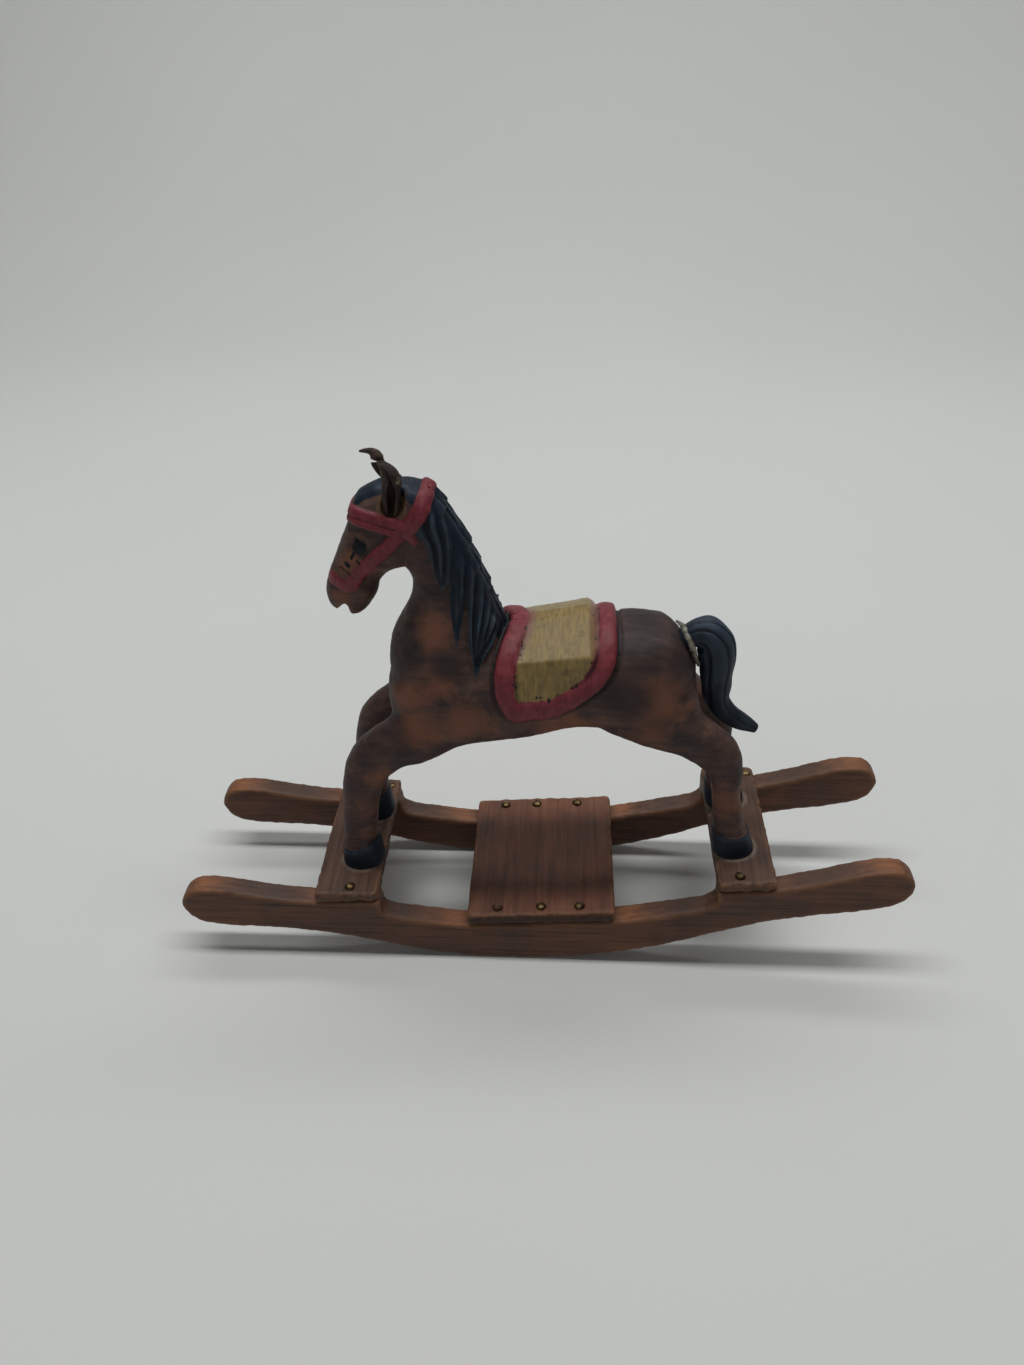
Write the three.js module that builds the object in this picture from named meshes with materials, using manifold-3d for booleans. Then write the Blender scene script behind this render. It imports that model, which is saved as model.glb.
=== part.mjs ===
// A small carved wooden rocking horse, standing nose down as it comes to rest by itself.
// Millimetres, +Z up. The head points towards -X and the horse's left side towards -Y.
// The origin is on the floor, in the middle of the footprint.
import * as THREE from "three";
import Module from "manifold-3d";
import { mergeVertices } from "three/addons/utils/BufferGeometryUtils.js";

const wasm = await Module();
wasm.setup();

// Rockers
const rockerLength = 220;
const rockerSpread = 53.8; // over the two outer faces
const rockerThick = 7;
const rockRadius = 150;
const rockReach = 52; // the round stretch of the underside, from the middle
const restTilt = THREE.MathUtils.degToRad(4.15);
const restFlat = 18; // the length that is worn flat where it rests
const slatSeat = 26.7; // heights of the seats, above the lowest point of the round
const boardSeat = 15.3;
const paddleTop = 33.2;
const paddleNose = 26;
const paddleUnder = 17.6;

// Boards across the rockers
const slatThick = 3.2;
const frontSlatWidth = 19.6;
const rearSlatWidth = 17.1;
const boardThick = 3.8;
const boardWidth = 45;
const boardPlace = 0.3;

// Nails
const nailHead = 3.2;
const nailDome = 0.9;
const nailShank = 1.4;
const nailLength = 9;
const nailInset = 3.4; // from the end of a board to the nail

// Horse, tail and ears
const horseHeight = 121.5; // from the soles to the crown
const legSpread = 22; // between the middles of the two fore hooves, or of the hind ones
const hoofWidth = 10.8;
const strapWidth = 4.2;
const strapRise = 0.7;
const saddleRise = 1.1;
const saddleRim = 2.4;
const earLength = 15;
const earThick = 0.8;
const earRadius = 2.6;
const earSeat = 2.5; // how deep an ear goes into its hole
const earPlace = 5; // from the middle of the crown
const gap = 0.3;

// The carving is drawn for a horse of this height, and all its stations keep their shares.
const drawnHeight = 121.5;
const share = horseHeight / drawnHeight;
const sole = slatSeat + gap + slatThick + gap;

const paint = (color, roughness = 0.55, metalness = 0) =>
  new THREE.MeshStandardMaterial({ color, roughness, metalness });
const wood = paint("#5c3a2b");
const boardWood = paint("#4d3127");
const tailPaint = paint("#1b232e");
const leather = paint("#3f2a1e", 0.7);
const brass = paint("#8c7440", 0.4, 0.9);

// Closed meshes, joined and cut

function solidOf(geometry) {
  const bare = geometry.clone();
  bare.deleteAttribute("normal");
  bare.deleteAttribute("uv");
  const merged = mergeVertices(bare, 1e-4);
  const vertProperties = new Float32Array(merged.attributes.position.array);
  const triVerts = new Uint32Array(merged.index.array);
  return new wasm.Manifold(new wasm.Mesh({ numProp: 3, vertProperties, triVerts }));
}

function geometryOf(solid) {
  const mesh = solid.getMesh();
  const geometry = new THREE.BufferGeometry();
  geometry.setAttribute("position", new THREE.BufferAttribute(mesh.vertProperties, mesh.numProp));
  geometry.setIndex(new THREE.BufferAttribute(mesh.triVerts, 1));
  const flat = geometry.toNonIndexed();
  flat.computeVertexNormals();
  return flat;
}

const joined = (solids) => solids.reduce((whole, one) => whole.add(one));

// A closed skin over rings of points, each ring with as many points as the next. It is capped at
// both ends, or runs round from the last ring to the first.
function loft(rings, round = false) {
  const sides = rings[0].length;
  const points = rings.flat();
  const index = [];
  for (let r = 0; r < rings.length - (round ? 0 : 1); r++) {
    const next = ((r + 1) % rings.length) * sides;
    for (let s = 0; s < sides; s++) {
      const after = (s + 1) % sides;
      const [a, b] = [r * sides + s, r * sides + after];
      index.push(a, b, next + after, a, next + after, next + s);
    }
  }
  const ends = round ? [] : [[0, -1], [rings.length - 1, 1]];
  for (const [r, turn] of ends) {
    const middle = new THREE.Vector3();
    rings[r].forEach((p) => middle.addScaledVector(p, 1 / sides));
    const hub = points.push(middle) - 1;
    for (let s = 0; s < sides; s++) {
      const a = r * sides + s;
      const b = r * sides + ((s + 1) % sides);
      index.push(...(turn > 0 ? [a, b, hub] : [b, a, hub]));
    }
  }
  return closedSolid(points, index);
}

// A solid from points and faces, turned so that its faces point out.
function closedSolid(points, index) {
  let volume = 0;
  for (let i = 0; i < index.length; i += 3) {
    const [a, b, c] = [points[index[i]], points[index[i + 1]], points[index[i + 2]]];
    volume += a.dot(b.clone().cross(c));
  }
  const faces = volume > 0 ? index : index.slice().reverse();
  const geometry = new THREE.BufferGeometry();
  const places = points.flatMap((p) => [p.x, p.y, p.z]);
  geometry.setAttribute("position", new THREE.Float32BufferAttribute(places, 3));
  geometry.setIndex(faces);
  return solidOf(geometry);
}

// Carved limbs. A station is [u, v, y, half, wide, lean]: its middle along the horse, above the
// soles and across, its half size along the direction lean, and its half width across.

const flats = { torso: 22, neck: 16, head: 14, leg: 10, tail: 10 }; // sides round each limb
const tuned = (s) => [s[0] * share, s[1] * share, s[2], s[3] * share, s[4] * share, s[5]];

function stationAt(stations, t) {
  const i = Math.min(Math.floor(t), stations.length - 2);
  const at = (k) => stations[THREE.MathUtils.clamp(k, 0, stations.length - 1)];
  const f = t - i;
  return stations[i].map((_, n) => {
    const [p0, p1, p2, p3] = [at(i - 1)[n], at(i)[n], at(i + 1)[n], at(i + 2)[n]];
    const slope1 = (p2 - p0) / 2;
    const slope2 = (p3 - p1) / 2;
    const bend = 3 * (p2 - p1) - 2 * slope1 - slope2;
    const twist = 2 * (p1 - p2) + slope1 + slope2;
    return p1 + f * (slope1 + f * (bend + f * twist));
  });
}

// A point on the skin, where angle 0 is the direction lean and 90 degrees is +Y.
const roundness = 2.3;
const curl = (c) => Math.sign(c) * Math.abs(c) ** (2 / roundness);

function skinPoint(stations, t, angle, swell = 0) {
  const [u, v, y, half, wide, lean] = stationAt(stations, t);
  const along = curl(Math.cos(angle)) * (half + swell);
  const turn = THREE.MathUtils.degToRad(lean);
  const across = y + curl(Math.sin(angle)) * (wide + swell);
  return new THREE.Vector3(u + along * Math.cos(turn), across, v + along * Math.sin(turn));
}

function limb(stations, sides, steps, swell = 0) {
  const rings = [];
  const last = stations.length - 1;
  for (let i = 0; i <= last * steps; i++) {
    const ring = [];
    for (let s = 0; s < sides; s++) {
      ring.push(skinPoint(stations, i / steps, (2 * Math.PI * s) / sides, swell));
    }
    rings.push(ring);
  }
  return loft(rings);
}

function skinNormal(stations, t, angle) {
  const step = 0.02;
  const a = skinPoint(stations, t - step, angle);
  const b = skinPoint(stations, t + step, angle);
  const c = skinPoint(stations, t, angle - step);
  const d = skinPoint(stations, t, angle + step);
  const normal = b.sub(a).cross(d.sub(c)).normalize();
  const [u, v, y] = stationAt(stations, t);
  const out = skinPoint(stations, t, angle).sub(new THREE.Vector3(u, y, v));
  return normal.dot(out) < 0 ? normal.negate() : normal;
}

// A raised band that follows the skin. The path holds [t, angle] pairs, width and rise are given
// for the way along it from 0 to 1, and rounded is how much of the width the raised edges take.
// A path that ends where it starts is a closed band.
function band(stations, path, steps, width, rise, rounded = 0.25) {
  const count = (path.length - 1) * steps;
  const round = Math.abs(path[path.length - 1][1] - path[0][1]) > 6.28;
  const spots = [];
  for (let i = 0; i < count + (round ? 0 : 1); i++) {
    const [t, angle] = stationAt(path, (i / steps) * 0.99999);
    const point = skinPoint(stations, t, angle);
    spots.push({ point, normal: skinNormal(stations, t, angle) });
  }
  const sunk = 1.2;
  const rings = spots.map(({ point, normal }, i) => {
    const way = i / count;
    const last = spots.length - 1;
    const before = spots[round && i === 0 ? last : Math.max(i - 1, 0)].point;
    const after = spots[round && i === last ? 0 : Math.min(i + 1, last)].point;
    const side = after.clone().sub(before).cross(normal).normalize();
    const [w, h] = [width(way) / 2, rise(way)];
    const section = [
      [-w, -sunk],
      [-w, h * 0.4],
      [-w * (1 - 2 * rounded), h],
      [w * (1 - 2 * rounded), h],
      [w, h * 0.4],
      [w, -sunk],
    ];
    return section.map(([s, n]) => point.clone().addScaledVector(side, s).addScaledVector(normal, n));
  });
  return loft(rings, round);
}

// Body, from the chest to the rump
const torso = [
  [-39.3, 56, 0, 4, 4, 90],
  [-37.2, 56, 0, 10.5, 9, 90],
  [-32, 56.3, 0, 16, 13.8, 90],
  [-22, 57.4, 0, 18, 16.6, 90],
  [-10, 58.8, 0, 17.8, 17.2, 90],
  [2, 59.6, 0, 17, 17.2, 90],
  [12, 60.5, 0, 15.8, 16.7, 90],
  [22, 60.1, 0, 15.7, 16.6, 90],
  [32, 59, 0, 17.1, 16.8, 90],
  [40, 58.4, 0, 16.6, 15.2, 90],
  [45.5, 57.4, 0, 12.6, 11.2, 90],
  [48.6, 56.8, 0, 5.5, 5, 90],
].map(tuned);

// Neck, from the shoulders to the crown; angle 0 is the crest
const neck = [
  [-20.5, 54, 0, 17, 13, 0],
  [-20.3, 68, 0, 17.4, 14.6, 0],
  [-19.8, 77, 0, 15.4, 13.2, 0],
  [-19.2, 84, 0, 11.8, 11.3, 0],
  [-18.6, 91, 0, 9.2, 9.8, 0],
  [-19.4, 98, 0, 8.4, 9, 0],
  [-21.6, 105, 0, 8.2, 8.4, 0],
  [-24, 112, 0, 8, 7.8, 0],
  [-26, 117.5, 0, 6.5, 6.4, 0],
  [-27.4, 120.6, 0, 3.4, 3.4, 0],
].map(tuned);

// Head, from the crown to the lips; angle 0 is the ridge of the face
const head = [
  [-27.6, 117.4, 0, 6, 5.4, 149],
  [-30.8, 111.4, 0, 10.3, 7.9, 149],
  [-34.5, 105.4, 0, 9.6, 8.4, 149],
  [-38.9, 100, 0, 8.2, 7.4, 149],
  [-42.8, 95.8, 0, 6.2, 6, 149],
  [-44.9, 91.7, 0, 5.5, 5.2, 150],
  [-46.5, 88, 0, 4.9, 4.8, 154],
  [-46.9, 85, 0, 3.2, 3.5, 160],
].map(tuned);

// Legs, from inside the body to the soles, drawn for the left side and mirrored for the right
const spreadY = -legSpread / 2;
const hoofHalf = hoofWidth / 2 / share;
const foreleg = [
  [-22, 53.2, spreadY + 2.5, 10.9, 6.4, 106],
  [-33, 46.2, spreadY + 1.5, 8.7, 6.4, 110],
  [-40, 43.2, spreadY + 0.8, 7.4, 5.9, 112],
  [-45.8, 38.8, spreadY + 0.4, 6.7, 5.6, 132],
  [-49.2, 32.2, spreadY, 6, 5.3, 166],
  [-51.5, 25, spreadY, 5.4, 4.9, 171],
  [-53, 17.5, spreadY, 5.2, 4.7, 172],
  [-54, 10.5, spreadY, 5.4, 4.8, 190],
  [-54.4, 7.2, spreadY, 6.2, hoofHalf, 200],
  [-54.6, 0, spreadY, 6.2, hoofHalf, 180],
].map(tuned);
const hindleg = [
  [30.6, 56.6, spreadY + 3, 14.2, 6.2, 46],
  [39.6, 49.8, spreadY + 1.6, 12.2, 6.8, 46],
  [47.3, 43, spreadY + 0.8, 7.4, 5.9, 48],
  [54, 36.2, spreadY + 0.3, 6.3, 5.2, 34],
  [56.3, 30, spreadY, 4.9, 4.6, 6],
  [56.5, 24, spreadY, 4.2, 4.3, 0],
  [57.2, 16.5, spreadY, 4.3, 4.3, 0],
  [57.9, 10, spreadY, 4.6, 4.6, -2],
  [58.4, 7.4, spreadY, 5.3, hoofHalf, -4],
  [59.4, 0, spreadY, 5.9, hoofHalf, 0],
].map(tuned);
const mirrored = (stations) => stations.map((s) => [s[0], s[1], -s[2], s[3], s[4], s[5]]);
const legs = [foreleg, hindleg, mirrored(foreleg), mirrored(hindleg)];

// The neck's skin where it passes u and v, on the left side for side -1
function onNeck(u, v, side) {
  let t = 0;
  while (t < neck.length - 1.001 && stationAt(neck, t)[1] < v * share) t += 0.02;
  const [middle, , , half] = stationAt(neck, t);
  const way = THREE.MathUtils.clamp((u * share - middle) / half, -0.995, 0.995);
  const angle = Math.acos(Math.sign(way) * Math.abs(way) ** (roundness / 2));
  return [t, side * angle];
}

// Mane: a crest along the back of the neck and three long pointed locks on each side
function maneLocks() {
  const lockWidth = 7.2 * share;
  const lockRise = 1.5 * share;
  const lines = [
    [[-21.5, 115.5], [-19.6, 109], [-18.2, 102], [-18.9, 94.6]],
    [[-17.6, 110], [-14.6, 103], [-13.6, 94], [-14.8, 87], [-16.4, 79.6]],
    [[-13.6, 102], [-10.4, 94], [-8.6, 85], [-9.6, 77], [-12.2, 69]],
  ];
  const bulge = (way) => 0.55 + 0.45 * Math.sin(Math.PI * Math.min(way * 1.15, 1));
  const taper = (way) => lockWidth * bulge(way) * (1 - way ** 3 * 0.85);
  const swell = (way) => lockRise * (1 - 0.6 * way ** 2);
  const locks = [];
  for (const side of [-1, 1]) {
    for (const line of lines) {
      const path = line.map(([u, v]) => onNeck(u, v, side));
      locks.push(band(neck, path, 2, taper, swell, 0.36));
    }
  }
  return locks;
}

function maneCrest() {
  const crest = [
    [-22.2, 118, 0, 2.8, 3, 0],
    [-19.6, 113, 0, 3, 4, 0],
    [-16.2, 106, 0, 3.7, 4.8, 0],
    [-13.6, 98.5, 0, 3.9, 5.2, 0],
    [-11.8, 91, 0, 3.6, 5.4, 0],
    [-9.8, 84, 0, 3.8, 5.2, 0],
    [-7.8, 78, 0, 3.6, 4.6, 0],
    [-7.2, 73, 0, 2.6, 3.4, 0],
  ].map(tuned);
  return limb(crest, 10, 1);
}

// Bridle: noseband, browband, cheek straps and a crown strap that cross beside the ears
function bridle() {
  const wide = () => strapWidth;
  const slim = () => strapWidth * 0.8;
  const high = () => strapRise;
  const turn = (degrees) => THREE.MathUtils.degToRad(degrees);
  const around = [];
  for (let degrees = 0; degrees <= 360; degrees += 30) around.push([3.95, turn(degrees)]);
  const straps = [band(head, around, 1, wide, high)];
  for (const side of [-1, 1]) {
    const brow = [[0.95, 112], [0.85, 80], [0.75, 45], [0.7, -3]].map(([t, a]) => [t, turn(side * a)]);
    const cheek = [[0.75, 112], [1.6, 103], [2.6, 97], [3.8, 97]].map(([t, a]) => [t, turn(side * a)]);
    const crown = [onNeck(-26.8, 110, side), onNeck(-22, 114.5, side), onNeck(-18.9, 118.2, side)];
    straps.push(band(head, brow, 3, wide, high));
    straps.push(band(head, cheek, 3, slim, high));
    straps.push(band(neck, crown, 3, wide, high));
  }
  return straps;
}

// Saddle: a shell over the back with a rolled rim, a high cantle and a rounded flap on each side
function saddle() {
  const flap = 103; // degrees down each side, from the top of the back
  const rolled = [0, 4, 8, 12]; // degrees from the lower edge, over its rim
  const open = [25, 42, 60, 78, 94];
  const half = [...rolled, ...open].map((degrees) => degrees - flap);
  const turns = [...half, ...half.map((degrees) => -degrees).reverse()];
  const stationFor = (u) => {
    let t = 0;
    while (t < torso.length - 1.001 && stationAt(torso, t)[0] < u * share) t += 0.02;
    return t;
  };
  const outer = [];
  const inner = [];
  for (const degrees of turns) {
    const down = Math.abs(degrees) / flap;
    const front = -2.5 - 4.8 * Math.sin((Math.PI / 2) * Math.min(1, down / 0.75)) + 7 * down ** 8;
    const rear = 25.6 - 17 * down ** 5;
    const length = rear - front;
    const rim = saddleRim / share;
    const columns = [0, rim * 0.45, rim, rim * 1.4];
    for (let k = 1; k < 5; k++) columns.push(rim * 1.4 + ((length - rim * 2.8) * k) / 5);
    columns.push(length - rim * 1.4, length - rim, length - rim * 0.45, length);
    const fromEdge = flap - Math.abs(degrees);
    const level = Math.max(0, Math.cos(THREE.MathUtils.degToRad(degrees))) ** 2;
    const angle = THREE.MathUtils.degToRad(degrees);
    const outerRow = [];
    const innerRow = [];
    columns.forEach((way, k) => {
      const fromEnd = Math.min(k, columns.length - 1 - k);
      const atEdge = fromEnd === 0 || fromEdge < 1;
      const onRim = fromEnd < 3 || fromEdge < 10;
      const cantle = 2.2 * level * Math.exp(-(((front + way - 18) / 3.6) ** 2));
      const rise = (atEdge ? 0.6 : onRim ? 1.9 : 1) * saddleRise + cantle * share;
      const t = stationFor(front + way);
      outerRow.push(skinPoint(torso, t, angle, rise));
      innerRow.push(skinPoint(torso, t, angle, -1.4));
    });
    outer.push(outerRow);
    inner.push(innerRow);
  }
  return shell(outer, inner);
}

// A closed shell between two grids of points of the same size
function shell(outer, inner) {
  const rows = outer.length;
  const columns = outer[0].length;
  const points = [...outer.flat(), ...inner.flat()];
  const deep = rows * columns;
  const index = [];
  const quad = (a, b, c, d) => index.push(a, b, c, a, c, d);
  for (let r = 0; r + 1 < rows; r++) {
    for (let c = 0; c + 1 < columns; c++) {
      const a = r * columns + c;
      quad(a, a + 1, a + columns + 1, a + columns);
      quad(a + deep, a + columns + deep, a + columns + 1 + deep, a + 1 + deep);
    }
    const [left, right] = [r * columns, r * columns + columns - 1];
    quad(left, left + columns, left + columns + deep, left + deep);
    quad(right, right + deep, right + columns + deep, right + columns);
  }
  for (let c = 0; c + 1 < columns; c++) {
    const low = c;
    const high = (rows - 1) * columns + c;
    quad(low, low + deep, low + 1 + deep, low + 1);
    quad(high, high + 1, high + 1 + deep, high + deep);
  }
  return closedSolid(points, index);
}

// The ears lean outward, and the right one also leans forward
const earLean = THREE.MathUtils.degToRad(12);
const earForward = { left: THREE.MathUtils.degToRad(-2), right: THREE.MathUtils.degToRad(30) };
function earPose(side) {
  const pose = new THREE.Object3D();
  pose.position.set(-29 * share, (side * earPlace) * share, 116.2 * share);
  pose.rotation.order = "YXZ";
  pose.rotation.set(Math.PI / 2 - side * earLean, side < 0 ? -earForward.left : -earForward.right, 0);
  pose.updateMatrix();
  return pose.matrix;
}

// A drilled hole, open far enough upward to clear the ear on the sloping crown
function earHole(side) {
  const radius = earRadius + gap;
  const hole = new THREE.CylinderGeometry(radius, radius, earLength, 12);
  hole.translate(0, earLength / 2 - earSeat, 0);
  return solidOf(hole.applyMatrix4(earPose(side)));
}

// A leaf of leather rolled into a cone that is open to the outside, with its tip bent forward. Each
// level is [share of the length, share of the radius, how far it is bent forward in radii].
const hooded = [[0, 0.9, 0], [0.35, 1, 0], [0.65, 1, 0.08], [0.85, 0.8, 0.35], [1, 0.4, 0.77]];
const curled = [[0, 0.9, 0], [0.35, 0.9, 0], [0.65, 0.7, 0.1], [0.85, 0.55, 0.5], [1, 0.36, 1.3]];
function ear(side) {
  const opening = THREE.MathUtils.degToRad(100);
  const openTo = -side * THREE.MathUtils.degToRad(75);
  const levels = side < 0 ? hooded : curled;
  const arcSteps = 8;
  const rings = levels.map(([level, size, bend]) => {
    const ring = [];
    for (const thick of [0, earThick]) {
      for (let i = 0; i <= arcSteps; i++) {
        const way = thick ? 1 - i / arcSteps : i / arcSteps;
        const angle = openTo + opening / 2 + way * (2 * Math.PI - opening);
        const radius = earRadius * size - thick;
        const up = level * earLength - earSeat + gap;
        const out = radius * Math.cos(angle) - bend * earRadius;
        ring.push(new THREE.Vector3(out, up, radius * Math.sin(angle)));
      }
    }
    return ring;
  });
  return loft(rings).transform(earPose(side).elements);
}

// The mouth, a notch between the upper lip and the lower jaw
function mouth() {
  const notch = [[-48.8, 83.4], [-46.4, 83.2], [-45.4, 88.6]].map(([u, v]) => [u * share, v * share]);
  const wedge = new THREE.Shape(notch.map(([u, v]) => new THREE.Vector2(u, v)));
  const depth = 14 * share;
  const cut = new THREE.ExtrudeGeometry(wedge, { depth, bevelEnabled: false });
  cut.rotateX(Math.PI / 2).translate(0, depth / 2, 0);
  return solidOf(cut);
}

function horse() {
  const parts = [limb(torso, flats.torso, 2), limb(neck, flats.neck, 2), limb(head, flats.head, 2)];
  parts.push(maneCrest(), saddle());
  legs.forEach((stations) => parts.push(limb(stations, flats.leg, 2)));
  parts.push(...maneLocks(), ...bridle());
  const whole = joined(parts);
  return whole.subtract(earHole(-1)).subtract(earHole(1)).subtract(mouth());
}

const tailStations = [
  [46.4, 70.2, 0, 3, 3.2, 108],
  [48.8, 71.1, 0, 3.9, 4, 90],
  [51.4, 70.3, 0, 4.6, 4.6, 62],
  [53.6, 66.6, 0, 5.3, 4.9, 22],
  [54.2, 60.3, 0, 4.9, 4.7, 4],
  [54.1, 53.3, 0, 4, 3.9, 0],
  [54.8, 47.4, 0, 3.5, 3.2, 22],
  [57.9, 42.6, 0, 3, 2.8, 44],
  [62.2, 39.2, 0, 2.4, 2.4, 54],
  [66, 36.8, 0, 1.2, 1.5, 58],
].map(tuned);

// The tail, hollowed where it is glued against the rump and the thighs
function tail() {
  const thighs = [hindleg, mirrored(hindleg)].map((stations) => limb(stations, flats.leg, 2, gap));
  return limb(tailStations, flats.tail, 2).subtract(joined([limb(torso, flats.torso, 2, gap), ...thighs]));
}

// Boards and rockers, in the same upright frame as the horse

// Each slat's inner edge lies under the inner edge of the hooves that stand on it. Its nails are
// placed by their share of its width, on the left and the right rocker.
const foreSole = foreleg[foreleg.length - 1];
const hindSole = hindleg[hindleg.length - 1];
const frontInner = foreSole[0] + foreSole[3];
const rearInner = hindSole[0] - hindSole[3];
const slats = [
  { name: "slat_front", from: frontInner - frontSlatWidth, to: frontInner, nailed: [0.56, 0.883] },
  { name: "slat_rear", from: rearInner, to: rearInner + rearSlatWidth, nailed: [0.4, 0.877] },
];
const nailY = rockerSpread / 2 - nailInset;
const nails = [];
const boards = [];
slats.forEach(({ name, from, to, nailed }) => {
  boards.push({ name, from, to, seat: slatSeat, thick: slatThick });
  const top = slatSeat + gap + slatThick;
  const [onLeft, onRight] = nailed.map((way) => from + way * (to - from));
  nails.push({ name: `nail_${name}_left`, u: onLeft, y: -nailY, top });
  nails.push({ name: `nail_${name}_right`, u: onRight, y: nailY, top });
});
boards.push({
  name: "footboard",
  from: boardPlace - boardWidth / 2,
  to: boardPlace + boardWidth / 2,
  seat: boardSeat,
  thick: boardThick,
});
const boardNails = { left: [-0.29, 0.01, 0.27], right: [-0.284, -0.047, 0.26] };
Object.entries(boardNails).forEach(([side, ways]) => {
  ways.forEach((way, i) => {
    const top = boardSeat + gap + boardThick;
    const y = side === "left" ? -nailY : nailY;
    nails.push({ name: `nail_footboard_${side}_${i + 1}`, u: boardPlace + way * boardWidth, y, top });
  });
});

function nailHole({ u, y, top }) {
  const radius = nailShank / 2 + gap;
  const hole = new THREE.CylinderGeometry(radius, radius, 2 * nailLength + 2 * gap, 6);
  hole.rotateX(Math.PI / 2).translate(u, y, top + gap);
  return solidOf(hole);
}

function nail({ u, y, top }) {
  const radius = nailHead / 2;
  const profile = [new THREE.Vector2(0, -nailLength), new THREE.Vector2(nailShank / 2, -nailLength + 1)];
  profile.push(new THREE.Vector2(nailShank / 2, 0), new THREE.Vector2(radius, 0));
  profile.push(new THREE.Vector2(radius * 0.75, nailDome * 0.7), new THREE.Vector2(0, nailDome));
  const turned = new THREE.LatheGeometry(profile, 8);
  turned.rotateX(Math.PI / 2).translate(u, y, top + gap);
  return solidOf(turned);
}

function board({ from, to, seat, thick }) {
  const low = seat + gap;
  const box = new THREE.BoxGeometry(to - from, rockerSpread, thick);
  box.translate((from + to) / 2, 0, low + thick / 2);
  return box;
}

function rockerOutline() {
  const half = rockerLength / 2;
  const floor = (u) => rockRadius - Math.sqrt(rockRadius ** 2 - u ** 2);
  const rest = -rockRadius * Math.sin(restTilt);
  const points = [];
  const arcSteps = 16;
  for (let i = 0; i <= arcSteps; i++) {
    const u = -rockReach + (2 * rockReach * i) / arcSteps;
    if (Math.abs(u - rest) > restFlat / 2) points.push(new THREE.Vector2(u, floor(u)));
  }
  const chord = [-1, 1].map((end) => {
    const angle = -restTilt + end * Math.asin(restFlat / 2 / rockRadius);
    return new THREE.Vector2(rockRadius * Math.sin(angle), rockRadius * (1 - Math.cos(angle)));
  });
  const after = points.findIndex((p) => p.x > rest);
  points.splice(after, 0, ...chord);

  // the paddle end from the underside round the nose to the top, for one side
  const paddle = (side, seatEnd) => {
    const run = half - rockReach;
    const under = [
      [rockReach, floor(rockReach)],
      [rockReach + run * 0.24, floor(rockReach) + 4.1],
      [rockReach + run * 0.5, paddleUnder - 1.4],
      [half - 15, paddleUnder],
      [half - 6.5, paddleUnder + 1.5],
      [half - 2.2, paddleNose - 4.3],
      [half, paddleNose],
      [half - 0.8, paddleNose + 3.8],
      [half - 4.6, paddleTop - 0.3],
      [half - 12, paddleTop - 0.2],
      [half - 20, paddleTop - 2],
      [half - 30, slatSeat + 1.9],
      [seatEnd, slatSeat],
    ];
    const curve = new THREE.SplineCurve(under.map(([u, v]) => new THREE.Vector2(side * u, v)));
    return curve.getPoints(26);
  };
  const middle = (side, seatInner) => {
    const step = [
      [seatInner, slatSeat],
      [seatInner, slatSeat - 4],
      [seatInner - side * 0.7, slatSeat - 5.4],
      [seatInner - side * 3.5, slatSeat - 7],
    ];
    const dip = new THREE.QuadraticBezierCurve(
      new THREE.Vector2(seatInner - side * 3.5, slatSeat - 7),
      new THREE.Vector2(boardPlace + (side * boardWidth) / 2 + side * 9, boardSeat + 1),
      new THREE.Vector2(boardPlace + (side * boardWidth) / 2 + side, boardSeat),
    );
    return [...step.slice(0, 3).map(([u, v]) => new THREE.Vector2(u, v)), ...dip.getPoints(6)];
  };
  const right = paddle(1, rearInner + rearSlatWidth).slice(1);
  const left = paddle(-1, frontSlatWidth - frontInner).slice(1);
  points.push(...right, ...middle(1, rearInner));
  points.push(...middle(-1, frontInner).reverse(), ...left.reverse());
  return new THREE.Shape(points);
}

function rocker(side) {
  const body = new THREE.ExtrudeGeometry(rockerOutline(), { depth: rockerThick, bevelEnabled: false });
  body.rotateX(Math.PI / 2);
  const outer = rockerSpread / 2;
  body.translate(0, side < 0 ? rockerThick - outer : outer, 0);
  return solidOf(body);
}

// Assembly

const rocking = new THREE.Group();

function place(name, solid, material) {
  const mesh = new THREE.Mesh(geometryOf(solid), material);
  mesh.name = name;
  rocking.add(mesh);
  return mesh;
}

const holes = nails.map(nailHole);
const drilled = (solid) => holes.reduce((left, hole) => left.subtract(hole), solid);
place("rocker_left", drilled(rocker(-1)), boardWood);
place("rocker_right", drilled(rocker(1)), boardWood);
boards.forEach((one) => place(one.name, drilled(solidOf(board(one))), boardWood));
nails.forEach((one) => place(one.name, nail(one), brass));
place("horse", horse(), wood).position.z = sole;
place("tail", tail(), tailPaint).position.z = sole;
place("ear_left", ear(-1), leather).position.z = sole;
place("ear_right", ear(1), leather).position.z = sole;

rocking.rotation.y = -restTilt;
const figurine = new THREE.Group();
figurine.add(rocking);
const reach = new THREE.Box3().setFromObject(figurine, true);
rocking.position.set(-(reach.min.x + reach.max.x) / 2, 0, -reach.min.z);

export default figurine;
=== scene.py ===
import math

import bmesh
import bpy
import numpy as np
from mathutils import Matrix, Vector, noise


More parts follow.
